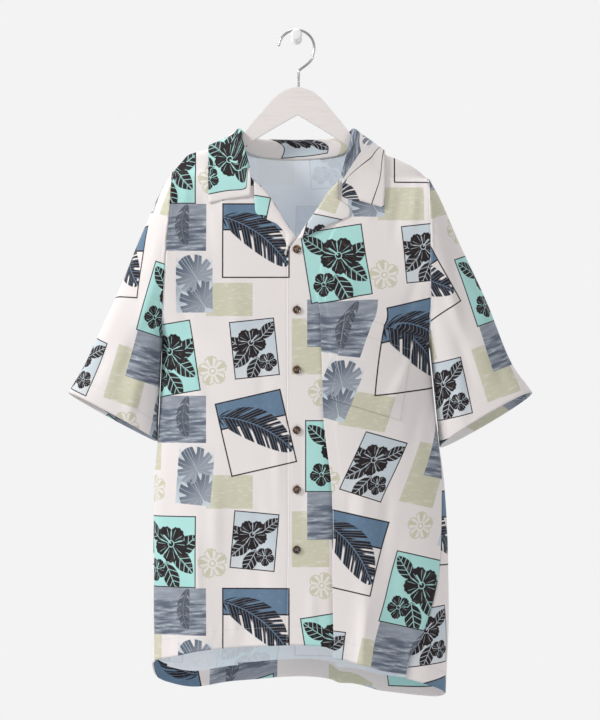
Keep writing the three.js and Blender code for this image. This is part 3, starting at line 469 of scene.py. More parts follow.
@dataclass
class Sheet:
    """A thin piece of cloth, made from a grid of places on its outer face.

    Args:
        name: the piece's name.
        places: rows down and columns across, in millimetres.
        outward: 1 where along a row crossed with down the rows points out of the cloth, or -1.
        wall: the cloth's thickness.
        ringed: true where the last column lies on the first.
    """

    name: str
    places: Grid
    outward: int
    wall: float = WALL
    ringed: bool = False
    cloth: Grid | None = None
    hem: float = 0

    def normals(self) -> Grid:
        """The outward directions over the grid."""
        along = np.gradient(self.places, axis=1)
        if self.ringed:
            along[:, [0, -1]] = (self.places[:, 1] - self.places[:, -2])[:, None]
        down = np.gradient(self.places, axis=0)
        return unit(np.cross(along, down) * self.outward)

    def from_edge(self, axis: int, at_end: bool) -> Grid:
        """Distances along the cloth from one of its four edges.

        Args:
            axis: 0 for the top or bottom edge, 1 for the first or last column.
            at_end: true for the bottom edge or the last column.

        Returns:
            A distance for each place.
        """
        run = running(np.linalg.norm(np.diff(self.places, axis=axis), axis=-1), axis)
        return np.take(run, [-1], axis) - run if at_end else run

    def edge_runs(self) -> list[Grid]:
        """Distances from the top edge, the bottom edge, the first column and the last."""
        return [self.from_edge(axis, at_end) for axis in (0, 1) for at_end in (False, True)]

    def level_run(self) -> Grid:
        """Distances along the rows as seen from above, so a row's slant doesn't count."""
        return running(np.linalg.norm(np.diff(self.places[..., :2], axis=1), axis=-1), 1)

    def raise_by(self, relief: Grid) -> None:
        """Moves the outer face out by the heights given."""
        self.places = self.places + self.normals() * relief[..., None]

    def line(self, axis: int, at_end: bool, distance: float) -> tuple[Grid, Grid]:
        """A line on the cloth at an even distance from one of its edges.

        Args:
            axis: as in from_edge.
            at_end: as in from_edge.
            distance: how far in from the edge.

        Returns:
            The line's places and the outward directions there.
        """
        run = self.from_edge(axis, at_end)
        normals = self.normals()
        places, outs = [], []
        for i in range(self.places.shape[1 - axis]):
            column = np.take(run, i, 1 - axis)
            order = np.argsort(column)
            for found, data in ((places, self.places), (outs, normals)):
                found.append(between(distance, column[order], np.take(data, i, 1 - axis)[order]))
        return np.array(places), unit(np.array(outs))

    def turned_hem(self, distance: Grid, depth: float, bulge: float) -> Grid:
        """The height of a turned-up hem: its extra layers, and the stitches' groove along them."""
        groove = HEM_GROOVE * near(distance - depth, HEM_GROOVE_WIDTH)
        return bulge * smooth(depth - distance, -0.6, 0.8) - groove

    def print_places(self) -> Grid:
        """Where each place lies on the uncut cloth, in metres."""
        if self.cloth is not None:
            return self.cloth
        return np.stack([self.from_edge(1, False), self.from_edge(0, False)], -1) * MM

    def build(self) -> Piece:
        """Makes the piece: outer face, inner face and the rims between them.

        Returns:
            The new object.
        """
        rows, columns = self.places.shape[:2]
        inner = self.places - self.normals() * self.wall
        corners = np.concatenate([self.places.reshape(-1, 3), inner.reshape(-1, 3)]) * MM
        layer = rows * columns
        index = np.arange(layer).reshape(rows, columns)
        quads = np.stack([index[:-1, :-1], index[:-1, 1:], index[1:, 1:], index[1:, :-1]], -1)
        outer = quads.reshape(-1, 4)
        if self.outward < 0:
            outer = outer[:, ::-1]
        rims = [self.rim(index[0], layer, True), self.rim(index[-1], layer, False)]
        if not self.ringed:
            rims += [self.rim(index[:, 0], layer, False), self.rim(index[:, -1], layer, True)]
        faces = np.concatenate([outer, outer[:, ::-1] + layer, *rims])
        mesh = bpy.data.meshes.new(self.name)
        mesh.from_pydata(corners.tolist(), [], faces.tolist())
        self.lay_print(mesh, outer, layer)
        if self.ringed:
            join_doubles(mesh)
        mesh.shade_smooth()
        return add_object(self.name, mesh)

    def rim(self, edge: Grid, layer: int, turned: bool) -> Grid:
        """The faces that join the two layers along an edge."""
        quads = np.stack([edge[:-1], edge[1:], edge[1:] + layer, edge[:-1] + layer], -1)
        return quads[:, ::-1] if turned == (self.outward > 0) else quads

    def lay_print(self, mesh: bpy.types.Mesh, outer: Grid, layer: int) -> None:
        """Gives the mesh its place on the cloth and the finish of each face.

        Args:
            mesh: the piece's mesh.
            outer: the outer face's quads.
            layer: how many places a layer has.
        """
        flat = self.print_places().reshape(-1, 2)
        corner = np.zeros(len(mesh.loops), np.int32)
        mesh.loops.foreach_get("vertex_index", corner)
        uv = np.concatenate([flat, flat])[corner]
        finish = np.zeros(len(mesh.polygons), np.int32)
        finish[len(outer) : 2 * len(outer)] = Layer.WRONG_SIDE.value
        if self.hem:
            turned_up = self.from_edge(0, True).reshape(-1) < self.hem
            band = turned_up[outer].all(1)
            finish[len(outer) : 2 * len(outer)][band] = Layer.RIGHT_SIDE.value
            first = np.arange(len(outer), 2 * len(outer))[band] * 4
            loops = np.repeat(first, 4) + np.tile(range(4), band.sum())
            end = np.repeat(flat.reshape(*self.places.shape[:2], 2)[-1:, :, 1], self.places.shape[0], 0)
            uv[loops, 1] = 2 * end.reshape(-1)[corner[loops] - layer] - uv[loops, 1]
        mesh.uv_layers.new(name="cloth").uv.foreach_set("vector", uv.astype(np.float32).ravel())
        mesh.polygons.foreach_set("material_index", finish)


def add_object(name: str, data: bpy.types.ID) -> Piece:
    """Adds an object to the scene."""
    piece = bpy.data.objects.new(name, data)
    bpy.context.scene.collection.objects.link(piece)
    return piece


def join_doubles(mesh: bpy.types.Mesh) -> None:
    """Joins a mesh's corners that lie on each other."""
    shape = bmesh.new()
    shape.from_mesh(mesh)
    bmesh.ops.remove_doubles(shape, verts=shape.verts, dist=1e-6)
    shape.to_mesh(mesh)
    shape.free()


def feed(slot: bpy.types.NodeSocket, value: "Value | Paint | Colour | float") -> None:
    """Gives a node's input its number or its colour, or the socket that it comes from."""
    source = getattr(value, "source", value)
    if isinstance(source, bpy.types.NodeSocket):
        slot.id_data.links.new(source, slot)
    else:
        slot.default_value = (*source, 1.0) if isinstance(source, tuple) else source


def step(operation: str) -> "Callable[..., Value]":
    """A method of Value that runs one operation of the Math node.

    Args:
        operation: the node's operation.

    Returns:
        The method.
    """

    def run(self: "Value", *others: "Value | float") -> "Value":
        """The operation's result."""
        return self.math(operation, *others)

    return run


class Value:
    """A number at each place of a surface, worked out by a material's nodes."""

    def __init__(self, tree: bpy.types.NodeTree, source: bpy.types.NodeSocket) -> None:
        """Keeps the node tree and the socket that holds the number."""
        self.tree = tree
        self.source = source

    def math(self, operation: str, *others: "Value | float") -> "Value":
        """The result of a Math node.

        Args:
            operation: the node's operation.
            others: the other numbers that it takes.

        Returns:
            The new number.
        """
        node = self.tree.nodes.new("ShaderNodeMath")
        node.operation = operation
        for slot, number in zip(node.inputs, (self, *others)):
            feed(slot, number)
        return Value(self.tree, node.outputs[0])

    __add__, __sub__ = step("ADD"), step("SUBTRACT")
    __mul__, __truediv__ = step("MULTIPLY"), step("DIVIDE")
    sin, cos, power = step("SINE"), step("COSINE"), step("POWER")
    size, least, most = step("ABSOLUTE"), step("MINIMUM"), step("MAXIMUM")

    def __neg__(self) -> "Value":
        """The same number with the other sign."""
        return self * -1.0

    def rise(self, low: float, high: float) -> "Value":
        """Rises softly from 0 at low to 1 at high."""
        node = self.tree.nodes.new("ShaderNodeMapRange")
        node.interpolation_type = "SMOOTHSTEP"
        ends = {"From Min": min(low, high), "From Max": max(low, high)}
        ends |= {"To Min": float(low > high), "To Max": float(low <= high)}
        for name, number in {"Value": self, **ends}.items():
            feed(node.inputs[name], number)
        return Value(self.tree, node.outputs["Result"])

    def inside(self, softness: float) -> "Value":
        """1 where the number is above 0, with a soft edge."""
        return self.rise(-softness, softness)

    def invert(self) -> "Value":
        """1 less the number."""
        return (-self) + 1.0


class Paint:
    """A colour at each place of a surface, worked out by a material's nodes."""

    def __init__(self, tree: bpy.types.NodeTree, source: "Colour | bpy.types.NodeSocket") -> None:
        """Starts from a plain colour or a socket that holds one."""
        self.tree = tree
        self.source = source

    def over(self, colour: "Colour | Paint", mask: Value, share: float = 1.0) -> "Paint":
        """Lays another colour on top where the mask is 1.

        Args:
            colour: the colour laid on.
            mask: where it lies.
            share: how much of it covers.

        Returns:
            The new paint.
        """
        node = self.tree.nodes.new("ShaderNodeMix")
        node.data_type = "RGBA"
        for number, value in ((0, mask * share if share != 1.0 else mask), (6, self), (7, colour)):
            feed(node.inputs[number], value)
        return Paint(self.tree, node.outputs[2])


class Surface:
    """A material in the making: its nodes, its shader and where its pattern lies."""

    def __init__(self, name: str, roughness: float) -> None:
        """Starts the material, its pattern lying in the piece's own space."""
        self.material = bpy.data.materials.new(name)
        self.material.use_nodes = True
        self.tree = self.material.node_tree
        self.shader = self.tree.nodes["Principled BSDF"]
        self.set("Roughness", roughness)
        self.place = self.tree.nodes.new("ShaderNodeTexCoord").outputs["Object"]

    def set(self, name: str, value: "Colour | float | Paint | Value") -> None:
        """Gives one of the shader's inputs its colour or number."""
        feed(self.shader.inputs[name], value)

    def texture(self, kind: str, scale: float, detail: float = 2.0) -> Value:
        """A noise or a wave over the pattern's place.

        Args:
            kind: Noise or Wave.
            scale: how fine it is.
            detail: how many finer layers it has.

        Returns:
            Its number at each place.
        """
        node = self.tree.nodes.new(f"ShaderNodeTex{kind}")
        for name, value in (("Scale", scale), ("Detail", detail), ("Vector", self.place)):
            feed(node.inputs[name], value)
        return Value(self.tree, node.outputs["Fac"])

    def bump(self, height: Value, strength: float, distance: float) -> None:
        """Bumps the surface by a height."""
        node = self.tree.nodes.new("ShaderNodeBump")
        for name, value in (("Strength", strength), ("Distance", distance), ("Height", height)):
            feed(node.inputs[name], value)
        self.set("Normal", node.outputs["Normal"])

    def blend(self, first: Colour, second: Colour, mask: Value, share: float = 1.0) -> None:
        """Colours the surface with two colours, the second where the mask is 1."""
        self.set("Base Color", Paint(self.tree, first).over(second, mask, share))


@dataclass(frozen=True)
class Repeat:
    """Where a motif falls on the cloth, in half-drop columns, in metres and degrees.

    Args:
        across, down: the motif's middle.
        size: half of its height.
        turn, other_turn: how it is turned, and how every second one is.
        width, height: from column to column, and from motif to motif down a column.
    """

    across: float
    down: float
    size: float
    turn: float = 0.0
    other_turn: float = 0.0
    width: float = 0.246
    height: float = 0.274

    def local(self, u: Value, v: Value) -> tuple[Value, Value]:
        """The place in the motif's own frame, where its half height is 1.

        Args:
            u, v: place across and down the cloth, in metres.

        Returns:
            The two places in the motif, to the right and down.
        """
        column = (u - self.across) / self.width + 0.5
        number = column.math("FLOOR")
        row = (v - self.down) / self.height + number.math("FLOORED_MODULO", 2.0) * 0.5 + 0.5
        level = row.math("FLOOR")
        x = (column - number - 0.5) * (self.width / self.size)
        y = (row - level - 0.5) * (self.height / self.size)
        if self.turn == self.other_turn == 0:
            return x, y
        odd = (number + level).math("FLOORED_MODULO", 2.0)
        first, second = math.radians(self.turn), math.radians(self.other_turn)
        angle = odd * (second - first) + first
        c, s = angle.cos(), angle.sin()
        return x * c + y * s, y * c - x * s


@dataclass(frozen=True)
class PrintColours:
    """The dyes of the print."""

    ground: Colour = (0.80, 0.752, 0.732)
    aqua: Colour = (0.42, 0.72, 0.68)
    aqua_deep: Colour = (0.33, 0.61, 0.58)
    slate: Colour = (0.11, 0.135, 0.18)
    slate_light: Colour = (0.30, 0.33, 0.38)
    sage: Colour = (0.60, 0.585, 0.44)
    dark: Colour = (0.014, 0.008, 0.010)
    ice: Colour = (0.56, 0.63, 0.67)
    dusk: Colour = (0.125, 0.205, 0.30)
    wrong_side: Colour = (0.62, 0.66, 0.70)


class Motifs:
    """The shapes of the print: panels with flowers, leaves and water, and loose blossoms."""

    def __init__(self, tree: bpy.types.NodeTree, colours: PrintColours) -> None:
        """Keeps the node tree and the dyes."""
        self.tree = tree
        self.dyes = colours

    def plain(self, colour: Colour) -> Paint:
        """A paint of one dye."""
        return Paint(self.tree, colour)

    def panel(self, under: Paint, x: Value, y: Value, half: float, scene: Paint, line: float) -> Paint:
        """A panel with an outline.

        Args:
            under: what lies under it.
            x, y: place across and down it.
            half: half of its width, where half of its height is 1.
            scene: what it shows.
            line: the outline's width, or 0.

        Returns:
            The paint with the panel.
        """
        edge = (x.size() - half).most(y.size() - 1.0)
        if line:
            under = under.over(self.dyes.dark, edge.rise(line, line * 0.7))
        return under.over(scene, edge.rise(0.0, -0.015))

    def noise(self, x: Value, y: Value, detail: float) -> Value:
        """A soft uneven tone."""
        place = self.tree.nodes.new("ShaderNodeCombineXYZ")
        feed(place.inputs["X"], x)
        feed(place.inputs["Y"], y)
        tone = self.tree.nodes.new("ShaderNodeTexNoise")
        for name, value in (("Scale", 1.0), ("Detail", detail), ("Vector", place.outputs[0])):
            feed(tone.inputs[name], value)
        return Value(self.tree, tone.outputs["Fac"])

    def flower(self, x: Value, y: Value, radius: float, turn: float) -> tuple[Value, Value, Value]:
        """A bloom with five broad ruffled petals.

        Args:
            x, y: place across and down, from its middle.
            radius: of its petals.
            turn: in radians.

        Returns:
            How far inside its rim a place is, the petals' wave and the distance from the middle.
        """
        r = (x * x + y * y).math("SQRT") / radius
        angle = y.math("ARCTAN2", x) + turn
        wave = (angle * 2.5 + (r * 2.0).sin() * 0.25).cos().size()
        rim = wave.power(0.6) * 0.30 + (angle * 24.0).sin() * 0.022 + 0.70
        return rim - r, wave, r

    def bloom(self, under: Paint, x: Value, y: Value, radius: float, turn: float, ground: Colour) -> Paint:
        """A dark bloom with petal lines in the colour of its ground, and a long pistil.

        Args:
            under: what lies under it.
            x, y: place across and down, from its middle.
            radius: of its petals.
            turn: in radians.
            ground: the colour of its lines.

        Returns:
            The paint with the bloom.
        """
        inner, wave, r = self.flower(x, y, radius, turn)
        lines = (wave * r).rise(0.07, 0.03) * r.rise(0.12, 0.25)
        veins = (wave * 11.0).sin().rise(0.90, 0.99) * r.rise(0.25, 0.45) * inner.rise(0.08, 0.22)
        body = self.plain(self.dyes.dark).over(ground, lines.most(veins), 0.9)
        body = body.over(ground, (r - 0.17).size().rise(0.035, 0.02), 0.8)
        paint = under.over(body, inner.inside(0.025))
        c, s = math.cos(turn) / radius, math.sin(turn) / radius
        along, off = x * c - y * s, x * s + y * c
        stalk = (off - along * along * 0.15).size().rise(0.05, 0.03) * along.rise(0.0, 0.05)
        return paint.over(ground, stalk * along.rise(0.66, 0.62), 0.95)

    def blade(self, under: Paint, x: Value, y: Value, length: float, turn: float, ground: Colour) -> Paint:
        """A pointed dark leaf with pale veins.

        Args:
            under: what lies under it.
            x, y: place across and down, from the leaf's foot.
            length: of the leaf.
            turn: in radians.
            ground: the colour of its veins.

        Returns:
            The paint with the leaf.
        """
        c, s = math.cos(turn) / length, math.sin(turn) / length
        along, off = x * c + y * s, (y * c - x * s).size()
        reach = (along.most(0.0).least(1.0) * math.pi).sin().most(0.0).power(0.8) * 0.26
        veins = ((along - off * 0.8) * 34.0).sin().rise(0.80, 0.97).most(off.rise(0.018, 0.008))
        body = self.plain(self.dyes.dark).over(ground, veins, 0.8)
        return under.over(body, (reach - off).inside(0.015))

    def split_leaf(self, x: Value, y: Value) -> tuple[Value, Value]:
        """A broad split leaf that points along x.

        Args:
            x, y: place along and across it.

        Returns:
            Its mask and the mask of its veins.
        """
        x = x + 0.45
        r = (x * x + y * y).math("SQRT")
        a = y.size().math("ARCTAN2", x)
        rim = (a * -0.11 + 1.35) * (a / math.pi).power(7.0).invert()
        share = r / rim.most(0.05)
        slit = (a * 11.0 + r * 1.2).cos() + share.rise(0.4, 1.1) - 1.3
        body = (rim - r).inside(0.02) * slit.rise(0.05, -0.05)
        vein = (a * 5.5 + r * 0.6).cos().size().rise(0.14, 0.04) * share.rise(0.1, 0.25)
        return body, vein.most(y.size().rise(0.03, 0.012))

    def long_leaf(self, x: Value, y: Value, width: float, slits: float) -> tuple[Value, Value]:
        """A long torn leaf that points along x.

        Args:
            x, y: place along and across it.
            width: half of its width.
            slits: how close its slits are.

        Returns:
            Its mask and the mask of its veins.
        """
        off = (y - x * x * 0.22 + 0.1).size()
        along = ((x * 0.5 + 0.5).most(0.0).least(1.0) * math.pi).sin().most(0.0)
        reach = along.power(0.55) * width
        slant = (x - off * 0.9) * slits
        torn = slant.sin() * 0.5 + (slant * 2.3 + 1.0).sin() * 0.5
        gap = torn.rise(0.38, 0.52) * (off / reach.most(0.02)).rise(0.25, 0.5)
        body = (reach - off).inside(0.015) * gap.invert()
        return body, (slant * 4.0).sin().rise(0.7, 1.0).most(off.rise(0.02, 0.008))

    def ice_flowers(self, x: Value, y: Value) -> Paint:
        """Flowers on the ice-blue ground."""
        return self.flower_scene(x, y, self.dyes.ice, self.dyes.ground)

    def aqua_flowers(self, x: Value, y: Value) -> Paint:
        """Flowers on the aqua ground, the other way round."""
        return self.flower_scene(-x, y, self.dyes.aqua, self.dyes.aqua_deep)

    def flower_scene(self, x: Value, y: Value, ground: Colour, deep: Colour) -> Paint:
        """A great bloom, a small one and their leaves, dark on a clear ground.

        Args:
            x, y: place across and down it.
            ground: the ground's colour.
            deep: its colour towards the bottom.

        Returns:
            The scene.
        """
        paint = self.plain(ground).over(deep, y.rise(-0.2, 1.6), 0.5)
        for foot_x, foot_y, length, turn in (
            (-0.1, -0.1, 1.0, 2.35),
            (0.1, 0.3, 0.95, 2.0),
            (0.2, -0.3, 0.85, -0.75),
            (-0.2, 0.1, 0.95, -2.5),
        ):
            paint = self.blade(paint, x - foot_x, y - foot_y, length, turn, ground)
        paint = self.bloom(paint, x + 0.10, y + 0.22, 0.54, 0.9, ground)
        return self.bloom(paint, x - 0.42, y - 0.52, 0.34, 2.2, ground)

    def water_scene(self, x: Value, y: Value) -> Paint:
        """Grey-blue bands of water under a paler sky, with the shade of a leaf."""
        bands = self.noise(x * 0.9, y * 6.5 + x * 0.35, 4.0)
        ripple = self.noise(x * 3.0 + 7.0, y * 22.0, 2.0)
        paint = self.plain(self.dyes.slate).over(self.dyes.slate_light, bands.rise(0.38, 0.60))
        paint = paint.over(self.dyes.ice, (bands * 0.6 + ripple * 0.4).rise(0.54, 0.64), 0.8)
        paint = paint.over(self.dyes.slate_light, y.rise(-0.35, -0.6) * (ripple + 0.3), 0.9)
        body, vein = self.long_leaf((y + 0.1) * 1.15, x - 0.55, 0.30, 15.0)
        leaf = self.plain((0.045, 0.055, 0.075)).over(self.dyes.slate_light, vein, 0.5)
        return paint.over(leaf, body, 0.85)

    def leaf_scene(self, x: Value, y: Value) -> Paint:
        """Broad split leaves in grey-blue on a misty ground."""
        mist = self.noise(x * 1.3, y * 1.8, 3.0)
        paint = self.plain(self.dyes.ice).over(self.dyes.slate_light, mist.rise(0.42, 0.75), 0.9)
        paint = paint.over(self.dyes.ground, (mist + y * 0.25).rise(0.5, 0.2), 0.9)
        for dx, dy, size in ((0.12, 0.45, 0.62), (-0.1, -0.42, 0.56)):
            px, py = (x - dx) / size, (y - dy) / size
            body, vein = self.split_leaf(px * -0.55 - py * 0.83, px * 0.83 - py * 0.55)
            tone = self.plain(self.dyes.slate).over(self.dyes.slate_light, (px + py).rise(-0.8, 0.9))
            paint = paint.over(tone.over(self.dyes.ice, vein, 0.6), body)
        return paint

    def frame_scene(self, x: Value, y: Value) -> Paint:
        """A great torn leaf across a ground of dusk blue and white."""
        paint = self.plain(self.dyes.ground).over(self.dyes.dusk, y.rise(-0.30, -0.33))
        paint = paint.over(self.dyes.dark, (y + 0.30).size().rise(0.028, 0.016))
        body, vein = self.long_leaf((x + y * 0.75) * 0.72, (y - x * 0.75) * 0.8 + 0.1, 0.46, 17.0)
        leaf = self.plain(self.dyes.dark).over(self.dyes.dusk, vein, 0.9)
        return paint.over(leaf, body)

    def sage_block(self, x: Value, y: Value) -> Paint:
        """A flat block, printed thinly in bands."""
        wash = self.noise(x * 2.2, y * 7.0, 3.0)
        return self.plain(self.dyes.sage).over(self.dyes.ground, wash.rise(0.5, 0.72), 0.55)

    def loose_blossom(self, under: Paint, x: Value, y: Value) -> Paint:
        """A blossom drawn in sage lines."""
        inner, wave, r = self.flower(x, y, 1.0, 0.4)
        rim = (inner - 0.06).size().rise(0.06, 0.03)
        rays = (wave * 8.0).sin().rise(0.4, 0.8) * r.rise(0.25, 0.4) * inner.rise(0.05, 0.15)
        middle = (r - 0.17).size().rise(0.06, 0.03)
        return under.over(self.dyes.sage, rim.most(rays).most(middle))


@dataclass(frozen=True)
class Finish:
    """A finish with two colours, whose pattern each kind lays in its own way."""

    name: str
    colour: Colour
    other: Colour
    roughness: float

    def material(self) -> Material:
        """Makes the material.

        Returns:
            The new material.
        """
        work = Surface(self.name, self.roughness)
        self.pattern(work)
        return work.material

    def pattern(self, work: Surface) -> None:
        """Lays the finish's pattern."""
        raise NotImplementedError


@dataclass(frozen=True)
class PrintedCloth:
    """Smooth plain-woven shirting with an all-over print of panels and blossoms.

    Args:
        name: the finish's name.
        layer: which side of the cloth shows.
        glow_through: a painted glow on the wrong side, standing in for the light from outside that the thin
            cloth lets through.
    """

    name: str
    layer: Layer
    colours: PrintColours = PrintColours()
    roughness: float = 0.72
    sheen: float = 0.12
    glow_through: Colour = (0.14, 0.15, 0.165)
    aqua_panel: Repeat = Repeat(0.057, 0.062, 0.050, 0, -9)
    water_panel: Repeat = Repeat(0.066, 0.147, 0.034)
    ice_panel: Repeat = Repeat(0.186, 0.046, 0.040, 5, -6)
    frame_panel: Repeat = Repeat(0.188, 0.166, 0.052, 0, -13)
    leaf_panel: Repeat = Repeat(0.100, 0.226, 0.043, 0, 5)
    sage_panel: Repeat = Repeat(0.020, 0.180, 0.040)
    wide_sage_panel: Repeat = Repeat(0.150, 0.250, 0.024)
    blossoms: Repeat = Repeat(0.126, 0.078, 0.022)
    other_blossoms: Repeat = Repeat(0.036, 0.246, 0.020, 30, 70)

    def material(self) -> Material:
        """Makes the material.

        Returns:
            The new material.
        """
        work = Surface(self.name, self.roughness)
        cloth = work.tree.nodes.new("ShaderNodeUVMap")
        cloth.uv_map = "cloth"
        work.place = cloth.outputs["UV"]
        parts = work.tree.nodes.new("ShaderNodeSeparateXYZ")
        feed(parts.inputs[0], work.place)
        u, v = Value(work.tree, parts.outputs["X"]), Value(work.tree, parts.outputs["Y"])
        paint = self.print(work.tree, u, v)
        mottle = work.texture("Noise", 140.0, 4.0)
        if self.layer is Layer.WRONG_SIDE:
            paint = paint.over(self.colours.wrong_side, mottle * 0.2 + 0.72)
        work.set("Base Color", paint.over(self.colours.ground, mottle.rise(0.5, 0.9), 0.12))
        work.set("Sheen Weight", self.sheen)
        work.set("Sheen Roughness", 0.4)
        work.set("Specular IOR Level", 0.3)
        # Painted light: the wrong side glows by emission, standing in for light that the thin cloth lets
        # through.
        work.set("Emission Color", self.glow_through)
        work.set("Emission Strength", 1.0 if self.layer is Layer.WRONG_SIDE else 0.0)
        threads = [self.thread_wave(work, direction) for direction in ("X", "Y")]
        work.bump(threads[0] + threads[1] + work.texture("Noise", 260.0) * 1.5, 0.25, 0.0002)
        return work.material

    def print(self, tree: bpy.types.NodeTree, u: Value, v: Value) -> Paint:
        """Lays the panels on the ground, each over the ones before it.

        Args:
            tree: the material's nodes.
            u, v: place across and down the cloth, in metres.

        Returns:
            The print's colour.
        """
        motifs = Motifs(tree, self.colours)
        paint = motifs.plain(self.colours.ground)
        for place in (self.blossoms, self.other_blossoms):
            paint = motifs.loose_blossom(paint, *place.local(u, v))
        for place, half, line, scene in (
            (self.sage_panel, 0.67, 0, motifs.sage_block),
            (self.wide_sage_panel, 1.4, 0, motifs.sage_block),
            (self.leaf_panel, 0.62, 0, motifs.leaf_scene),
            (self.water_panel, 1.5, 0, motifs.water_scene),
            (self.frame_panel, 0.9, 0.035, motifs.frame_scene),
            (self.ice_panel, 0.78, 0.035, motifs.ice_flowers),
            (self.aqua_panel, 0.87, 0.028, motifs.aqua_flowers),
        ):
            x, y = place.local(u, v)
            paint = motifs.panel(paint, x, y, half, scene(x, y), line)
        return paint

    def thread_wave(self, work: Surface, direction: str) -> Value:
        """The height of the threads that run one way."""
        threads = work.texture("Wave", 420.0)
        node = threads.source.node
        node.bands_direction = direction
        feed(node.inputs["Distortion"], 0.6)
        return threads


@dataclass(frozen=True)
class SewingThread(Finish):
    """Matt spun thread, the colour of the cloth's ground, with painted shade in the hollows of its twist.
    """

    name: str = "sewing_thread"
    colour: Colour = (0.58, 0.56, 0.54)
    other: Colour = (0.72, 0.70, 0.68)
    roughness: float = 0.8

    def pattern(self, work: Surface) -> None:
        """Lays painted shade in the hollows of the twist as fine darker bands over the thread."""
        twist_shade = work.texture("Wave", 900.0)
        twist_shade.source.node.bands_direction = "DIAGONAL"
        # The darker of the two colours in these bands is painted shade in the twist's hollows.
        work.blend(self.colour, self.other, twist_shade)


@dataclass(frozen=True)
class ButtonResin(Finish):
    """Polished dark brown resin with amber clouds."""

    name: str = "button_resin"
    colour: Colour = (0.028, 0.012, 0.007)
    other: Colour = (0.30, 0.125, 0.03)
    roughness: float = 0.25

    def pattern(self, work: Surface) -> None:
        """Lays the clouds and the polish."""
        clouds = work.texture("Noise", 170.0, 3.0)
        feed(clouds.source.node.inputs["Distortion"], 0.8)
        work.blend(self.colour, self.other, clouds.rise(0.48, 0.64), 0.9)
        work.set("Coat Weight", 0.4)
        work.set("Coat Roughness", 0.12)


@dataclass(frozen=True)
class PaleWood(Finish):
    """Wood under a thin pale stain, its grain along the hanger."""

    name: str = "pale_wood"
    colour: Colour = (0.83, 0.775, 0.75)
    other: Colour = (0.72, 0.64, 0.60)
    roughness: float = 0.42

    def pattern(self, work: Surface) -> None:
        """Lays the grain, drawn out along the board."""
        stretch = work.tree.nodes.new("ShaderNodeMapping")
        stretch.inputs["Scale"].default_value = (6.0, 90.0, 90.0)
        feed(stretch.inputs["Vector"], work.place)
        work.place = stretch.outputs["Vector"]
        streak = work.texture("Noise", 3.0, 5.0)
        work.blend(self.colour, self.other, streak.rise(0.48, 0.75), 0.5)
        work.set("Roughness", streak * 0.15 + (self.roughness - 0.07))
        work.bump(streak, 0.12, 0.0003)


@dataclass(frozen=True)
class BrushedSteel(Finish):
    """Bright drawn steel wire."""

    name: str = "hook_steel"
    colour: Colour = (0.58, 0.58, 0.58)
    other: Colour = (0.48, 0.48, 0.48)
    roughness: float = 0.24

    def pattern(self, work: Surface) -> None:
        """Lays faint smears over the metal."""
        shade = work.texture("Noise", 180.0, 4.0)
        work.set("Roughness", shade * 0.2 + (self.roughness - 0.1))
        work.blend(self.colour, self.other, shade)
        work.set("Metallic", 1.0)


@dataclass(frozen=True)
class WhitePaint(Finish):
    """Smooth white paint with a faint unevenness."""

    name: str = "white_paint"
    colour: Colour = (0.92, 0.92, 0.91)
    other: Colour = (0.88, 0.88, 0.87)
    roughness: float = 0.35

    def pattern(self, work: Surface) -> None:
        """Lays the paint's fine grain."""
        peel = work.texture("Noise", 400.0)
        work.blend(self.colour, self.other, peel)
        work.bump(peel, 0.05, 0.0002)


def take(piece: Piece, slot: str, nodes: Sequence[str], *materials: Material) -> None:
    """Gives a finished piece its materials and its place in the model.

    Args:
        piece: the finished object.
        slot: the record's material slot; not used.
        nodes: the CAD nodes that it stands for.
        materials: its materials, in order.
    """
    for material in materials:
        piece.data.materials.append(material)
    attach(piece, ROOT)
    if nodes:
        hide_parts(*nodes)
    triangles = sum(len(face.vertices) - 2 for face in piece.data.polygons)
    LOG.info("%s: %d triangles", piece.name, triangles)


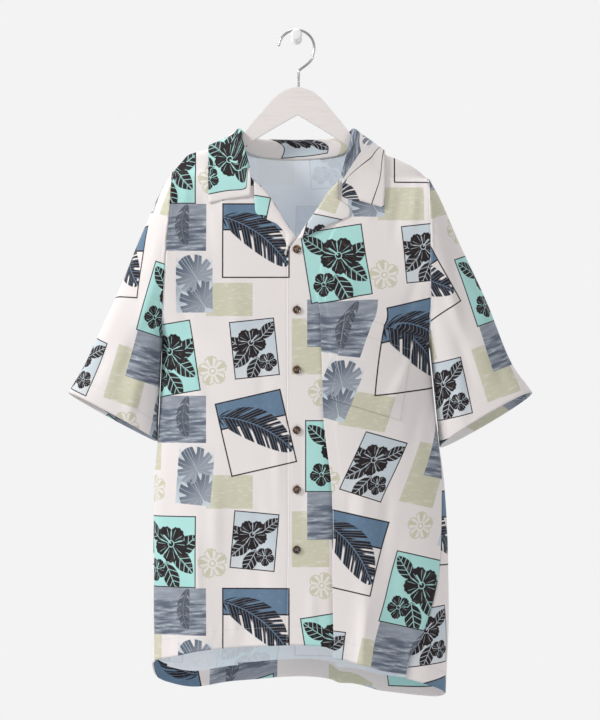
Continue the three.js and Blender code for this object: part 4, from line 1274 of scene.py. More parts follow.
@dataclass
class Stitching:
    """Rows of short stitches that lie on the cloth.

    Args:
        name: the piece's name.
        pitch: from one stitch to the next.
        length, radius: of the thread that shows.
    """

    name: str
    pitch: float = 2.8
    length: float = 2.2
    radius: float = 0.22
    corners: list[Grid] = field(default_factory=list)

    def run(self, places: Grid, outs: Grid) -> None:
        """Sews along a line.

        Args:
            places: the line's places, in millimetres.
            outs: the outward directions there.
        """
        run = path_run(places)
        middle = (np.arange(int(run[-1] / self.pitch)) + 0.5) * self.pitch
        at = middle[:, None] + np.array([-0.5, -0.3, 0.0, 0.3, 0.5]) * self.length
        self.add(between(at, run, places), unit(between(at, run, outs)), self.radius)

    def single(self, start: Grid, end: Grid, out: Grid, radius: float) -> None:
        """Adds one stitch from start to end, in millimetres."""
        centre = blend(start, end, np.array([0.0, 0.15, 0.5, 0.85, 1.0])[:, None])
        self.add(centre[None], np.broadcast_to(out, (1, 5, 3)), radius)

    def add(self, centre: Grid, out: Grid, radius: float) -> None:
        """Adds stitches that rise from the cloth and sink into it again.

        Args:
            centre: five places along each stitch, on the cloth.
            out: the outward directions there.
            radius: of the thread.
        """
        rises = np.array([-0.6, 0.55, 0.8, 0.55, -0.6])[:, None]
        widths = np.array([0.35, 1.0, 1.0, 1.0, 0.35])[:, None]
        aside = unit(np.cross(unit(np.gradient(centre, axis=1)), out))
        centre = centre + out * rises * radius
        angles = np.radians([45, 135, 225, 315])
        ring = [centre + (aside * math.cos(a) + out * math.sin(a)) * widths * radius for a in angles]
        self.corners.append(np.stack(ring, 2))

    def build(self) -> Piece:
        """Joins all stitches into one piece.

        Returns:
            The new object.
        """
        stitches = np.concatenate(self.corners)
        count, rings, sides = stitches.shape[:3]
        index = np.arange(rings * sides).reshape(rings, sides)
        turned = np.roll(index, -1, 1)
        walls = np.stack([index[:-1], turned[:-1], turned[1:], index[1:]], -1).reshape(-1, 4)
        shape = np.concatenate([walls, index[:1, ::-1], index[-1:]])
        faces = (shape[None] + (np.arange(count) * rings * sides)[:, None, None]).reshape(-1, 4)
        mesh = bpy.data.meshes.new(self.name)
        mesh.from_pydata((stitches.reshape(-1, 3) * MM).tolist(), [], faces[:, ::-1].tolist())
        mesh.shade_smooth()
        return add_object(self.name, mesh)


@dataclass
class Panels:
    """The shirt's body: two fronts and a back."""

    body: Body
    hem_depth: float = 26.0
    rows: int = 230
    front_columns: int = 110
    strip_columns: int = 14
    lap_columns: int = 60
    chest_columns: int = 76
    shoulder_columns: int = 60
    neck_columns: int = 72
    hem_bulge: float = 0.45
    cloth_lean: float = math.radians(13)
    lean_pivot: float = 330.0

    def heights(self, edge: Table, side: Side, inner_hem: float, outer_hem: float) -> tuple[Grid, ...]:
        """Heights of a front's rows, along its inner and its outer edge.

        Args:
            edge: the front's inner edge.
            side: which front.
            inner_hem, outer_hem: the hem's height at the inner edge and at the side seam.

        Returns:
            Inner heights, outer heights, and how far each row takes the shoulder's and the hem's line.
        """
        top = edge.column("z").max()
        ridge = self.body.ridge(TIP_X[side])
        index = np.linspace(0, len(ARMHOLE_SHARES) - 1 + SIDE_ROWS, 3000)
        upper = np.minimum(index, len(ARMHOLE_SHARES) - 1)
        numbers = np.arange(len(ARMHOLE_SHARES))
        share = Track(numbers, ARMHOLE_SHARES)(upper)
        hem = np.clip((index - upper) / SIDE_ROWS, 0, 1)
        inner = blend(top - Track(numbers, INNER_DROPS)(upper), inner_hem, hem)
        outer = blend(blend(ridge, UNDERARM_Z, share), outer_hem, hem)
        steps = np.abs(np.diff(inner)) + np.abs(np.diff(outer)) + 8 * np.diff(index)
        places = even_places(running(steps), self.rows)
        lines = np.stack([inner, outer, share, hem], -1)
        even = between(places, np.linspace(0, 1, len(index)), lines)
        inner, outer, share, hem = (even[:, k, None] for k in range(4))
        return inner, outer, 1 - share, hem

    def front(
        self, edge: Table, hem: Table, side: Side, angles: Callable[[Grid, Grid, Grid], Grid]
    ) -> tuple[Grid, Grid]:
        """Places of a front's plain form.

        Args:
            edge: its inner edge.
            hem: its hem.
            side: which front.
            angles: gives each row's angles from the heights of its two ends.

        Returns:
            The places and each row's inner height.
        """
        body = self.body
        hem_line = hem.track("angle", "z")
        if side is Side.RIGHT:
            inner_hem, outer_hem = hem.rows[-1][1], float(hem_line(body.right_seam(-960)))
        else:
            inner_hem, outer_hem = hem.rows[0][1], float(hem_line(body.left_seam(hem.rows[-1][1])))
        inner, outer, shoulder, down = self.heights(edge, side, inner_hem, outer_hem)
        turn = angles(inner, outer, down)
        inner_x = edge.track("z", "x")(inner)
        outer_x = body.right_side(outer) if side is Side.RIGHT else body.left_side(outer)
        place = signed_power(np.sin(np.radians(turn)), 2 / ROUNDNESS)
        share = (place - place[:, :1]) / (place[:, -1:] - place[:, :1])
        straight = blend(body.ridge(inner_x), body.ridge(outer_x), share)
        shoulder_bow = body.ridge(blend(inner_x, outer_x, share)) - straight
        hem_bow = hem_line(turn[-1])[None] - blend(inner[-1], outer[-1], share)
        z = blend(inner, outer, share) + shoulder * shoulder_bow + down**2 * hem_bow
        return body.point(turn, z), inner

    def seat_top(self, sheet: Sheet, front: bool) -> None:
        """Lays a panel's top row on the shoulder's ridge."""
        x = sheet.places[0, :, 0]
        on = (np.abs(x) > 87.5) if not front else np.ones(len(x), bool)
        sheet.places[0, on, 1] = (-1 if front else 1) * SEAM_GAP / 2
        sheet.places[0, on, 2] = self.body.ridge(x[on])

    def right_front(self) -> Sheet:
        """The wearer's right front, which lies under the left one."""
        body = self.body
        edge_x = RIGHT_EDGE.track("z", "x")
        u = span(self.front_columns)

        def angles(inner: Grid, outer: Grid, down: Grid) -> Grid:
            start = body.front_angle(edge_x(inner), inner)
            end = body.right_seam(outer) + np.where(down > 0, SEAM_TRIM, 0)
            return blend(start, end, u)

        places, inner = self.front(RIGHT_EDGE, RIGHT_HEM, Side.RIGHT, angles)
        sheet = Sheet("right_front_cloth", places, 1, hem=self.hem_depth)
        self.seat_top(sheet, True)
        across = places[:, :1, 0] - sheet.level_run()
        sheet.cloth = np.stack([across, -places[..., 2]], -1) * MM
        return sheet

    def left_front(self) -> Sheet:
        """The wearer's left front, with its long lapped fold."""
        body = self.body
        edge_x = LEFT_EDGE.track("z", "x")
        strip = span(self.strip_columns)[:, :-1]
        lap = span(self.lap_columns)
        chest = span(self.chest_columns)[:, 1:]

        def angles(inner: Grid, outer: Grid, down: Grid) -> Grid:
            middle = body.lap_middle(inner)
            start = body.front_angle(edge_x(inner), inner)
            lap_start = body.front_angle(middle - LAP_SPAN / 2, inner)
            lap_end = body.front_angle(middle + LAP_SPAN / 2, inner)
            seam = body.left_seam(outer) - np.where(down > 0, SEAM_TRIM, 0)
            parts = ((start, lap_start, strip), (lap_start, lap_end, lap), (lap_end, seam, chest))
            return np.concatenate([blend(*part) for part in parts], 1)

        places, inner = self.front(LEFT_EDGE, LEFT_HEM, Side.LEFT, angles)
        through = np.concatenate([strip * 0, lap, chest * 0 + 1], 1)
        size = body.lap_size(inner)
        lift = body.left_lift(body.lap_middle(inner), inner)
        in_lap = through < 1
        near_ridge = np.clip((body.ridge(places[..., 0]) - places[..., 2]) / 20, 0, 1)
        chest_lift = body.left_lift(places[..., 0], places[..., 2]) * near_ridge
        lap_lift = lift - LAP_HEIGHT * size * (1 - smooth(through, 0.2, 0.8))
        places[..., 0] -= np.where(in_lap, LAP_SWING * size * np.sin(2 * math.pi * (through - 0.5)), 0)
        places[..., 1] -= np.where(in_lap, lap_lift, chest_lift)
        sheet = Sheet("left_front_cloth", places, -1, hem=self.hem_depth)
        self.seat_top(sheet, True)
        across = places[:, :1, 0] + sheet.level_run()
        down = -places[..., 2]
        lean = self.cloth_lean * smooth(through, 0.3, 0.7) * size
        below = down - self.lean_pivot
        cloth_x = across * np.cos(lean) + below * np.sin(lean)
        cloth_z = self.lean_pivot + below * np.cos(lean) - across * np.sin(lean)
        sheet.cloth = np.stack([cloth_x, cloth_z], -1) * MM
        return sheet

    def back(self) -> Sheet:
        """The back, from the left side seam round behind to the right one."""
        body = self.body
        hem_line = BACK_HEM.track("angle", "z")
        neck = (88.0, -88.0)
        neck_angles = [float(180 - body.front_angle(np.array(x), body.ridge(x))) for x in neck]
        left_hem = float(hem_line(body.left_seam(-926)))
        right_hem = float(hem_line(360 + body.right_seam(-960)))
        shoulder = span(self.shoulder_columns)
        middle = blend(*neck_angles, span(self.neck_columns)[:, 1:-1])

        def angles(first: Grid, last: Grid) -> Grid:
            left, right = blend(first, neck_angles[0], shoulder), blend(neck_angles[1], last, shoulder)
            return np.concatenate([left, np.repeat(middle, len(first), 0), right], 1)

        _, _, shoulder_share, down = self.heights(BACK_NECK, Side.LEFT, -930, -940)
        share = 1 - shoulder_share
        left_seam = body.left_seam(blend(UNDERARM_Z, left_hem, down)) + SEAM_TRIM
        right_seam = 360 + body.right_seam(blend(UNDERARM_Z, right_hem, down)) - SEAM_TRIM
        ends = zip((left_seam, right_seam), ARMHOLE_TURNS)
        turn = angles(*(np.where(down > 0, seam, armhole) for seam, armhole in ends))
        tops_x = body.point(angles(np.array([[90.0]]), np.array([[270.0]])), np.array(-147.0))[0, :, 0]
        in_neck = (tops_x > neck[1] + 0.1) & (tops_x < neck[0] - 0.1)
        tops = np.where(in_neck, body.back_neck(tops_x), body.ridge(tops_x))[None]
        bottoms = hem_line(turn[-1])[None]
        z = blend(blend(tops, UNDERARM_Z, share), bottoms, down)
        places = body.point(turn, z)
        places[..., 1] += np.where(np.cos(np.radians(turn)) > 0, SEAM_GAP, 0)
        sheet = Sheet("back_cloth", places, -1, hem=self.hem_depth)
        self.seat_top(sheet, False)
        run = sheet.level_run()
        centre = run[:, places.shape[1] // 2][:, None]
        sheet.cloth = np.stack([run - centre, -places[..., 2]], -1) * MM
        return sheet

    def finish_edges(self, sheet: Sheet) -> None:
        """Raises the hem's turned-up layers and sinks the stitch line and the seams."""
        top, bottom, first, last = sheet.edge_runs()
        along = sheet.print_places()[..., 0] / MM
        hem = sheet.turned_hem(bottom, self.hem_depth, self.hem_bulge)
        pucker = 0.28 * np.sin(along / 1.9 + 2 * np.sin(along / 11)) * near(bottom - self.hem_depth, 7)
        seams = -SEAM_SINK * (near(top, SEAM_WIDTH) + near(last, SEAM_WIDTH))
        if sheet.name.startswith("back"):
            seams = seams - SEAM_SINK * near(first, SEAM_WIDTH)
        sheet.raise_by(hem + pucker + seams)


@dataclass
class Sleeve:
    """A short set-in sleeve, open at its hem."""

    body: Body
    node: str
    side: Side
    outer: tuple[float, float]
    inner: tuple[float, float]
    depth: float
    tilt: float
    edge: Table
    start: float = 0.5
    rounds: int = 150
    rows: int = 110
    hem_depth: float = 24.0
    hem_bulge: float = 0.45

    def sheet(self) -> Sheet:
        """The sleeve's cloth, from the underarm up the back, over the top and down the front."""
        body, side = self.body, self.side.value
        turn = np.linspace(-math.pi, math.pi, self.rounds + 1)[None]
        high = np.cos(turn)
        face = np.where((turn < 0) & (turn > -math.pi), 1.0, -1.0)
        share = (1 - high) / 2
        z = blend(body.ridge(TIP_X[self.side]), UNDERARM_Z, share)
        bulge = np.clip(1 - np.abs(high) ** ARMHOLE_ROUNDNESS, 0, 1) ** (1 / ARMHOLE_ROUNDNESS)
        edge_x = body.left_side(z) if side > 0 else body.right_side(z)
        depth = face * (body.armhole_depth(self.side, z) + SEAM_GAP / 2)
        seam = np.stack([edge_x + side * self.start, depth, z], -1)
        middle = [(a + b) / 2 for a, b in zip(self.outer, self.inner)]
        end_x = middle[0] + high * (self.outer[0] - middle[0])
        end_z = middle[1] + high * (self.outer[1] - middle[1]) - face * self.tilt * bulge
        hem = np.stack([end_x, face * self.depth * bulge, end_z], -1)
        along = np.linspace(0, 1, self.rows)[:, None]
        places = blend(seam, hem, along[..., None])
        places[..., 0] += side * self.edge.track("along", "out")(along) * (1 - share)
        sheet = Sheet(f"{self.node}_cloth", places, side, ringed=True, hem=self.hem_depth)
        self.drape(sheet, along, turn)
        sheet.cloth = self.flattened(places)
        return sheet

    def flattened(self, places: Grid) -> Grid:
        """Each place on the uncut cloth: down the sleeve's own line, and round it.

        Args:
            places: the sleeve's places before its folds.

        Returns:
            The places on the cloth, in metres.
        """
        top = places[:, self.rounds // 2]
        ends = (places[0].mean(0), places[-1].mean(0))
        down = unit(ends[1] - ends[0])
        across = np.array([-down[2], 0.0, down[0]])
        steps = np.diff(places, axis=1)
        fall = steps @ down
        round_steps = np.sqrt(np.maximum((steps**2).sum(-1) - fall**2, 0))
        run = running(round_steps, 1)
        run = run - run[:, self.rounds // 2][:, None]
        start = ((top - ends[0]) @ across)[:, None]
        return np.stack([start - run * self.side.value, (places - ends[0]) @ down], -1) * MM

    def drape(self, sheet: Sheet, along: Grid, turn: Grid) -> None:
        """Adds the soft folds, the sunk seam and the turned-up hem.

        Args:
            sheet: the sleeve's cloth.
            along: share of the way down, for each row; not used.
            turn: angle round the sleeve, for each column, 0 on top.
        """
        x, z = sheet.places[..., 0], sheet.places[..., 2]
        creases, facing = self.body.creases, np.sin(turn)
        front = creases(SLEEVE_CREASES, x, z) * np.clip(facing, 0, 1) ** 0.5
        behind = -0.8 * creases(SLEEVE_CREASES, x + 12, z - 14) * np.clip(-facing, 0, 1) ** 0.5
        from_seam, from_hem = sheet.edge_runs()[:2]
        easing = 0.5 * np.sin(turn * 34 + np.sin(turn * 5)) * near(from_seam, 9)
        seam = -0.8 * near(from_seam, 1.8) + 0.7 * near(from_seam - 6, 4)
        hem = sheet.turned_hem(from_hem, self.hem_depth, self.hem_bulge)
        pucker = 0.25 * np.sin(turn * 62 + 2 * np.sin(turn * 7)) * near(from_hem - self.hem_depth, 6)
        sheet.raise_by(front + behind + easing + seam + hem + pucker)


@dataclass
class Collar:
    """The camp collar: stand and leaf in one piece, and the two lapels below it.

    The sections run from the middle of the back, over the shoulder, to the notch in front. Seam,
    mid and rim lie over the body: out from the centre, drop below the ridge, height above the
    cloth. The crest is the fold, and away points from it into the fold.
    """

    body: Body
    steps: int = 13
    columns: int = 44
    lapel_lift: float = 2.5
    lapel_spring: float = 1.6
    lapel_rows: int = 96
    lapel_columns: int = 34

    def side_sections(self, side: Side) -> Grid:
        """The control places of one half's sections.

        Args:
            side: which half.

        Returns:
            The places, a row for each section.
        """
        numbers = np.arange(len(COLLAR_SECTIONS.rows))
        place = np.linspace(0, numbers[-1], (len(numbers) - 1) * self.steps + 1)
        sign = side.value

        def value(name: str) -> Grid:
            return Track(numbers, COLLAR_SECTIONS.column(name))(place)

        def over(key: str) -> Grid:
            height = value(key + "_up") if key != "seam" else place * 0
            return self.body.over(sign * value(key + "_out"), value(key + "_drop"), height)

        crest = np.stack([sign * value("crest_out"), value("crest_y"), value("crest_z")], -1)
        away = unit(np.stack([sign * value("away_out"), place * 0, value("away_z")], -1))
        turn = np.radians(value("stack"))[:, None]
        up = unit(np.stack([-sign * away[:, 2], place * 0, np.abs(away[:, 0])], -1))
        stack = np.cos(turn) * np.array([0.0, 1.0, 0.0]) + np.sin(turn) * up
        inside = crest + away * COLLAR_BEND
        first, top = inside - stack * COLLAR_BEND, inside + stack * COLLAR_BEND
        mid, rim = over("mid"), over("rim")
        return np.stack([over("seam"), first, crest, top, (top + mid) / 2, mid, (mid + rim) / 2, rim], 1)

    def sheet(self) -> Sheet:
        """The collar's cloth, from the right notch round the neck to the left one."""
        right, left = self.side_sections(Side.RIGHT)[::-1], self.side_sections(Side.LEFT)[1:]
        rows = []
        for section in np.concatenate([right, left]):
            chord = path_run(section)
            curves = [Track(chord, section[:, k]) for k in range(3)]
            weight = chord + 7 * np.arange(len(chord)) / 2
            run = np.interp(np.linspace(0, weight[-1], self.columns), weight, chord)
            rows.append(np.stack([curve(run) for curve in curves], -1))
        sheet = Sheet("collar_cloth", np.array(rows), -1, DOUBLE_WALL)
        start, end, seam, rim = sheet.edge_runs()
        edge = np.minimum(rim, np.minimum(start, end))
        wave = 0.5 * np.sin(start / 23.0) * smooth(rim, 60, 10)
        sheet.raise_by(-0.5 * near(edge, 1.4) + wave - 0.5 * near(seam, 1.5))
        centre = sheet.from_edge(0, False)
        sheet.cloth = np.stack([centre, 90 - rim], -1) * MM
        return sheet

    def lapel(self, table: Table, side: Side, name: str) -> Sheet:
        """One lapel's cloth, from the roll line to its outer edge.

        Args:
            table: the roll line and the edge, from the notch down.
            side: which front it lies on.
            name: the piece's name.

        Returns:
            The lapel's sheet.
        """
        numbers = np.arange(len(table.rows))
        place = np.linspace(0, numbers[-1], self.lapel_rows)[:, None]
        u = span(self.lapel_columns)
        roll_x, roll_z, edge_x, edge_z = (
            Track(numbers, table.column(key))(place) for key in ("roll_x", "roll_z", "edge_x", "edge_z")
        )
        x, z = blend(roll_x, edge_x, u), blend(roll_z, edge_z, u)
        lift = self.lapel_lift + self.lapel_spring * np.sin(math.pi * u)
        places = self.body.on_front(x, z, side, lift)
        sheet = Sheet(name, places, -side.value, DOUBLE_WALL)
        top, _, roll, outer = sheet.edge_runs()
        edge = np.minimum(outer, top)
        sheet.raise_by(-0.7 * near(edge, 1.2) - 0.9 * near(roll, 1.5))
        sheet.cloth = np.stack([x * 0.9 - z * 0.35, -z * 0.94 - x * 0.3], -1) * MM + 0.041
        return sheet


@dataclass
class Pocket:
    """The patch pocket on the wearer's left chest, its print matched to the front's."""

    body: Body
    corner: tuple[float, float] = (68, -407)
    across: tuple[float, float] = (101, -31)
    down: tuple[float, float] = (-20, -122)
    lift: float = 1.9
    columns: int = 72
    rows: int = 84
    hem_depth: float = 22.0

    def sheet(self, front: Sheet) -> Sheet:
        """The pocket's cloth.

        Args:
            front: the left front, which carries it.

        Returns:
            The pocket's sheet.
        """
        u = span(self.columns)
        v = span(self.rows).T
        x = self.corner[0] + u * self.across[0] + v * self.down[0]
        z = self.corner[1] + u * self.across[1] + v * self.down[1]
        places = self.body.on_front(x, z, Side.LEFT, self.lift)
        sheet = Sheet("pocket_cloth", places, -1)
        top, bottom, first, last = sheet.edge_runs()
        edge = np.minimum(np.minimum(first, last), bottom)
        press = -0.9 * near(edge, 1.6) - 0.25 * near(edge - 3, 1.0)
        hem = sheet.turned_hem(top, self.hem_depth, 0.35) - 0.3 * near(top, 1.2)
        slack = 0.8 * np.sin(math.pi * u) * near(top, 30)
        sheet.raise_by(press + hem + slack)
        sheet.cloth = self.matched(front, x, z)
        return sheet

    def matched(self, front: Sheet, x: Grid, z: Grid) -> Grid:
        """The front's place on the cloth below each of the pocket's places."""
        px, pz = front.places[..., 0].ravel(), front.places[..., 2].ravel()
        below = (px > 56) & (px < 175) & (pz < -395) & (pz > -570)

        def terms(a: Grid, b: Grid) -> Grid:
            a, b = (a - 110) / 60, (b + 480) / 80
            return np.stack([a * 0 + 1, a, b, a * a, a * b, b * b, a**3, b**3], -1)

        target = front.print_places().reshape(-1, 2)[below]
        fit = np.linalg.lstsq(terms(px[below], pz[below]), target, rcond=None)[0]
        return terms(x, z) @ fit


def select_only(piece: Piece) -> None:
    """Selects one object and nothing else."""
    bpy.ops.object.select_all(action="DESELECT")
    piece.select_set(True)
    bpy.context.view_layer.objects.active = piece


def settle(piece: Piece) -> None:
    """Moves an object's place and turn into its mesh."""
    select_only(piece)
    bpy.ops.object.transform_apply(location=True, rotation=True, scale=True)


def turn_profile(name: str, profile: Line, sides: int, bevel: float) -> Piece:
    """Models a round piece about the Y axis from a circle, by extruding it along a profile.

    Args:
        name: the piece's name.
        profile: radius and depth at each step, from behind to the front, in millimetres.
        sides: how many sides the round has.
        bevel: the rounding of its edges.

    Returns:
        The new object, on the Y axis.
    """
    radius, depth = profile[0]
    bpy.ops.mesh.primitive_circle_add(
        vertices=sides, radius=radius * MM, fill_type="NGON", location=(0, depth * MM, 0), rotation=UPRIGHT
    )
    piece = bpy.context.object
    piece.name = name
    settle(piece)
    bpy.ops.object.mode_set(mode="EDIT")
    bpy.ops.mesh.select_all(action="SELECT")
    for new_radius, new_depth in profile[1:]:
        bpy.ops.mesh.extrude_region_move(TRANSFORM_OT_translate={"value": (0, (new_depth - depth) * MM, 0)})
        scale = new_radius / radius
        bpy.ops.transform.resize(value=(scale, 1, scale), center_override=(0, new_depth * MM, 0))
        radius, depth = new_radius, new_depth
    round_edges(piece, bevel, 3)
    return piece


def round_edges(piece: Piece, width: float, segments: int) -> None:
    """Ends the editing of a piece, rounds its sharp edges and smooths its faces.

    Args:
        piece: the object, in edit mode.
        width: of the rounding, in millimetres.
        segments: faces across it.
    """
    bpy.ops.mesh.select_all(action="SELECT")
    bpy.ops.mesh.normals_make_consistent(inside=False)
    bpy.ops.object.mode_set(mode="OBJECT")
    select_only(piece)
    bevel = piece.modifiers.new("rounding", "BEVEL")
    bevel.width = width * MM
    bevel.segments = segments
    bevel.angle_limit = math.radians(32)
    bpy.ops.object.modifier_apply(modifier=bevel.name)
    bpy.ops.object.shade_smooth_by_angle(angle=math.radians(35))


@dataclass
class Buttons:
    """Six four-hole buttons, sewn on through the button strip."""

    body: Body
    heights: tuple[float, ...] = (-315.5, -401.8, -487, -573, -657.5, -743)
    x: float = 0.5
    gap: float = 0.6
    hole_radius: float = 0.75
    hole_offset: float = 1.25
    profile: Line = (
        (5.0, 0.0), (5.75, -0.5), (5.75, -1.9), (4.6, -2.4), (3.7, -1.75), (2.9, -1.7),
    )

    def first(self) -> Piece:
        """Models one button at the middle of the frame, its holes cut through.

        Returns:
            The button.
        """
        button = turn_profile("button", self.profile, 56, 0.18)
        for x_sign in (-1, 1):
            for z_sign in (-1, 1):
                self.drill(button, x_sign * self.hole_offset, z_sign * self.hole_offset)
        select_only(button)
        bpy.ops.object.shade_smooth_by_angle(angle=math.radians(35))
        return button

    def drill(self, button: Piece, x: float, z: float) -> None:
        """Cuts one hole.

        Args:
            button: the button.
            x, z: the hole's place across and its height.
        """
        place = (x * MM, 0, z * MM)
        bpy.ops.mesh.primitive_cylinder_add(
            vertices=16, radius=self.hole_radius * MM, depth=8 * MM, location=place, rotation=UPRIGHT
        )
        drill = bpy.context.object
        settle(drill)
        select_only(button)
        cut = button.modifiers.new("hole", "BOOLEAN")
        cut.operation = "DIFFERENCE"
        cut.object = drill
        bpy.ops.object.modifier_apply(modifier=cut.name)
        bpy.data.objects.remove(drill)

    def seat(self, z: float) -> Grid:
        """Where a button's back lies, in millimetres."""
        seat = self.body.point(self.body.front_angle(np.array(self.x), np.array(z)), np.array(z))
        lift = STRIP_LIFT * float(smooth(STRIP_LIFT_FROM - z, 0, STRIP_LIFT_FROM - STRIP_LIFT_TO))
        return np.array([self.x, float(seat[1]) - lift - self.gap, z])

    def turn(self, number: int) -> float:
        """How a button is turned, each one a little differently, in radians."""
        return math.radians(11 * ((number * 7) % 5 - 2))

    def build(self, resin: Material) -> None:
        """Copies the button to each of its places.

        Args:
            resin: the buttons' material.
        """
        pattern = self.first()
        for number, z in enumerate(self.heights, 1):
            button = pattern.copy()
            button.data = pattern.data.copy()
            button.name = f"shirt_button_{number}"
            bpy.context.scene.collection.objects.link(button)
            button.location = self.seat(z) * MM
            button.rotation_euler[1] = self.turn(number)
            settle(button)
            take(button, "button", [f"button_{number}"], resin)
        bpy.data.objects.remove(pattern)

    def sew(self, stitching: Stitching) -> None:
        """Adds the threads through the holes and the buttonholes' satin stitches.

        Args:
            stitching: what the stitches are added to.
        """
        out = np.array([0.0, -1.0, 0.0])
        for number, z in enumerate(self.heights, 1):
            centre = self.seat(z) + np.array([0, -1.95, 0])
            for across in (-1, 1):
                for shift in (-0.22, 0.22):
                    column = across * self.hole_offset + shift
                    spun = [spin(column, end * self.hole_offset, self.turn(number)) for end in (-1, 1)]
                    stitching.single(*(centre + np.array([a, 0, b]) for a, b in spun), out, 0.2)
            cloth = self.seat(z) + np.array([0, self.gap - 0.1, 0])
            for step in np.arange(-7.4, 7.5, 0.42):
                for across in (-1, 1):
                    start = cloth + np.array([across * 0.25, 0, step])
                    stitching.single(start, start + np.array([across * 1.1, 0, 0]), out, 0.19)


@dataclass
class Hanger:
    """The wooden hanger's board."""

    middle: float = 2.0
    thickness: float = 12.0
    rounding: float = 3.6
    tilt: float = 0.6
    tip: tuple[float, float, float] = (157.0, -201.5, 8.0)
    top: Line = (
        (2, -80), (20, -85.5), (35, -96), (54, -117.5), (66, -131.5), (79, -148.5),
        (89, -159), (101, -163.5), (129, -182), (155, -193.5),
    )
    under: Line = (
        (2, -120.5), (19, -130.3), (36, -140.2), (53, -150.5), (79, -167.5), (120, -195),
        (152, -208.5),
    )
    columns: int = 90
    bands: int = 10

    def half_edge(self, points: Line, start: float, end: float) -> Grid:
        """One edge of a half of the board, closed round the tip.

        Args:
            points: the edge's places, from the middle outwards.
            start, end: where the tip's round starts and ends, in degrees.

        Returns:
            Even places along the edge.
        """
        x, z, radius = self.tip
        spots = np.array(points, float)
        run = path_run(spots)
        fine = np.linspace(0, run[-1], 200)
        path = np.stack([Track(run, spots[:, k])(fine) for k in range(2)], -1)
        angles = np.radians(np.linspace(start, end, 20))
        tip = np.stack([x + radius * np.cos(angles), z + radius * np.sin(angles)], -1)
        edge = np.concatenate([path, tip])
        length = path_run(edge)
        return between(np.linspace(0, length[-1], self.columns), length, edge)

    def build(self) -> Piece:
        """Models the board from a grid laid between its two edges, then extruded and rounded.

        Returns:
            The board.
        """
        upper = self.half_edge(self.top, 60, 0)
        lower = self.half_edge(self.under, -60, 0)
        flip = np.array([-1.0, 1.0])
        shift = np.array([2 * self.middle, 0.0])
        edges = [np.concatenate([edge[:0:-1] * flip + shift, edge]) for edge in (lower, upper)]
        across = 2 * self.columns - 2
        bpy.ops.mesh.primitive_grid_add(x_subdivisions=across, y_subdivisions=self.bands, size=2)
        board = bpy.context.object
        board.name = "wooden_hanger"
        head = self.top[0][1]
        for corner in board.data.vertices:
            column = round((corner.co.x + 1) / 2 * across)
            x, z = blend(edges[0][column], edges[1][column], (corner.co.y + 1) / 2)
            px, pz = spin(x - self.middle, z - head, math.radians(self.tilt))
            corner.co = [(px + self.middle) * MM, self.thickness / 2 * MM, (pz + head) * MM]
        select_only(board)
        bpy.ops.object.mode_set(mode="EDIT")
        bpy.ops.mesh.select_all(action="SELECT")
        bpy.ops.mesh.remove_doubles(threshold=1e-5)
        bpy.ops.mesh.extrude_region_move(TRANSFORM_OT_translate={"value": (0, -self.thickness * MM, 0)})
        round_edges(board, self.rounding, 5)
        return board


@dataclass
class Hook:
    """The bent wire hook, whose stem goes into the hanger's head."""

    wire: float = 1.9
    radius: float = 25.6
    start: float = 172.0
    end: float = -24.0
    tip: Line = ((1.9, 0.05), (1.75, 0.45), (1.2, 0.8))
    stem: Line = (
        (23.5, -38), (19.5, -44), (13, -49.5), (6.5, -54), (3.6, -56.5), (3, -60), (3, -72), (3, -88),
    )

    def build(self) -> Piece:
        """Makes the wire from a curve with a round section.

        Returns:
            The hook.
        """
        angles = np.radians(np.linspace(self.start, self.end, 22))
        centre = self.wire - self.radius
        arc = [(self.radius * math.cos(a), centre + self.radius * math.sin(a)) for a in angles]
        first = np.array(arc[0]) - np.array(arc[1])
        first = first / np.linalg.norm(first)
        cap = [(tuple(np.array(arc[0]) + first * out), size) for out, size in self.tip]
        points = cap + [(spot, 1.0) for spot in (*arc, *self.stem)]
        curve = bpy.data.curves.new("wire", "CURVE")
        curve.dimensions = "3D"
        curve.bevel_depth = self.wire * MM
        curve.bevel_resolution = 8
        curve.use_fill_caps = True
        curve.resolution_u = 6
        spline = curve.splines.new("NURBS")
        spline.points.add(len(points) - 1)
        for point, ((x, z), size) in zip(spline.points, points):
            point.co = (x * MM, 0, z * MM, 1)
            point.radius = size
        spline.order_u = 3
        spline.use_endpoint_u = True
        select_only(add_object("steel_hook", curve))
        bpy.ops.object.convert(target="MESH")
        hook = bpy.context.object
        bpy.ops.object.shade_smooth()
        return hook


@dataclass
class Peg:
    """The round wall peg: head, shaft and flange."""

    height: float = -5.8
    profile: Line = (
        (8, 60), (8, 57), (5.5, 56), (5.5, -5.5), (8.2, -6.5), (8.2, -10), (6.2, -12),
    )

    def build(self) -> Piece:
        """Models the peg and moves it to its height.

        Returns:
            The peg.
        """
        peg = turn_profile("round_peg", self.profile, 72, 0.6)
        peg.location.z = self.height * MM
        settle(peg)
        return peg


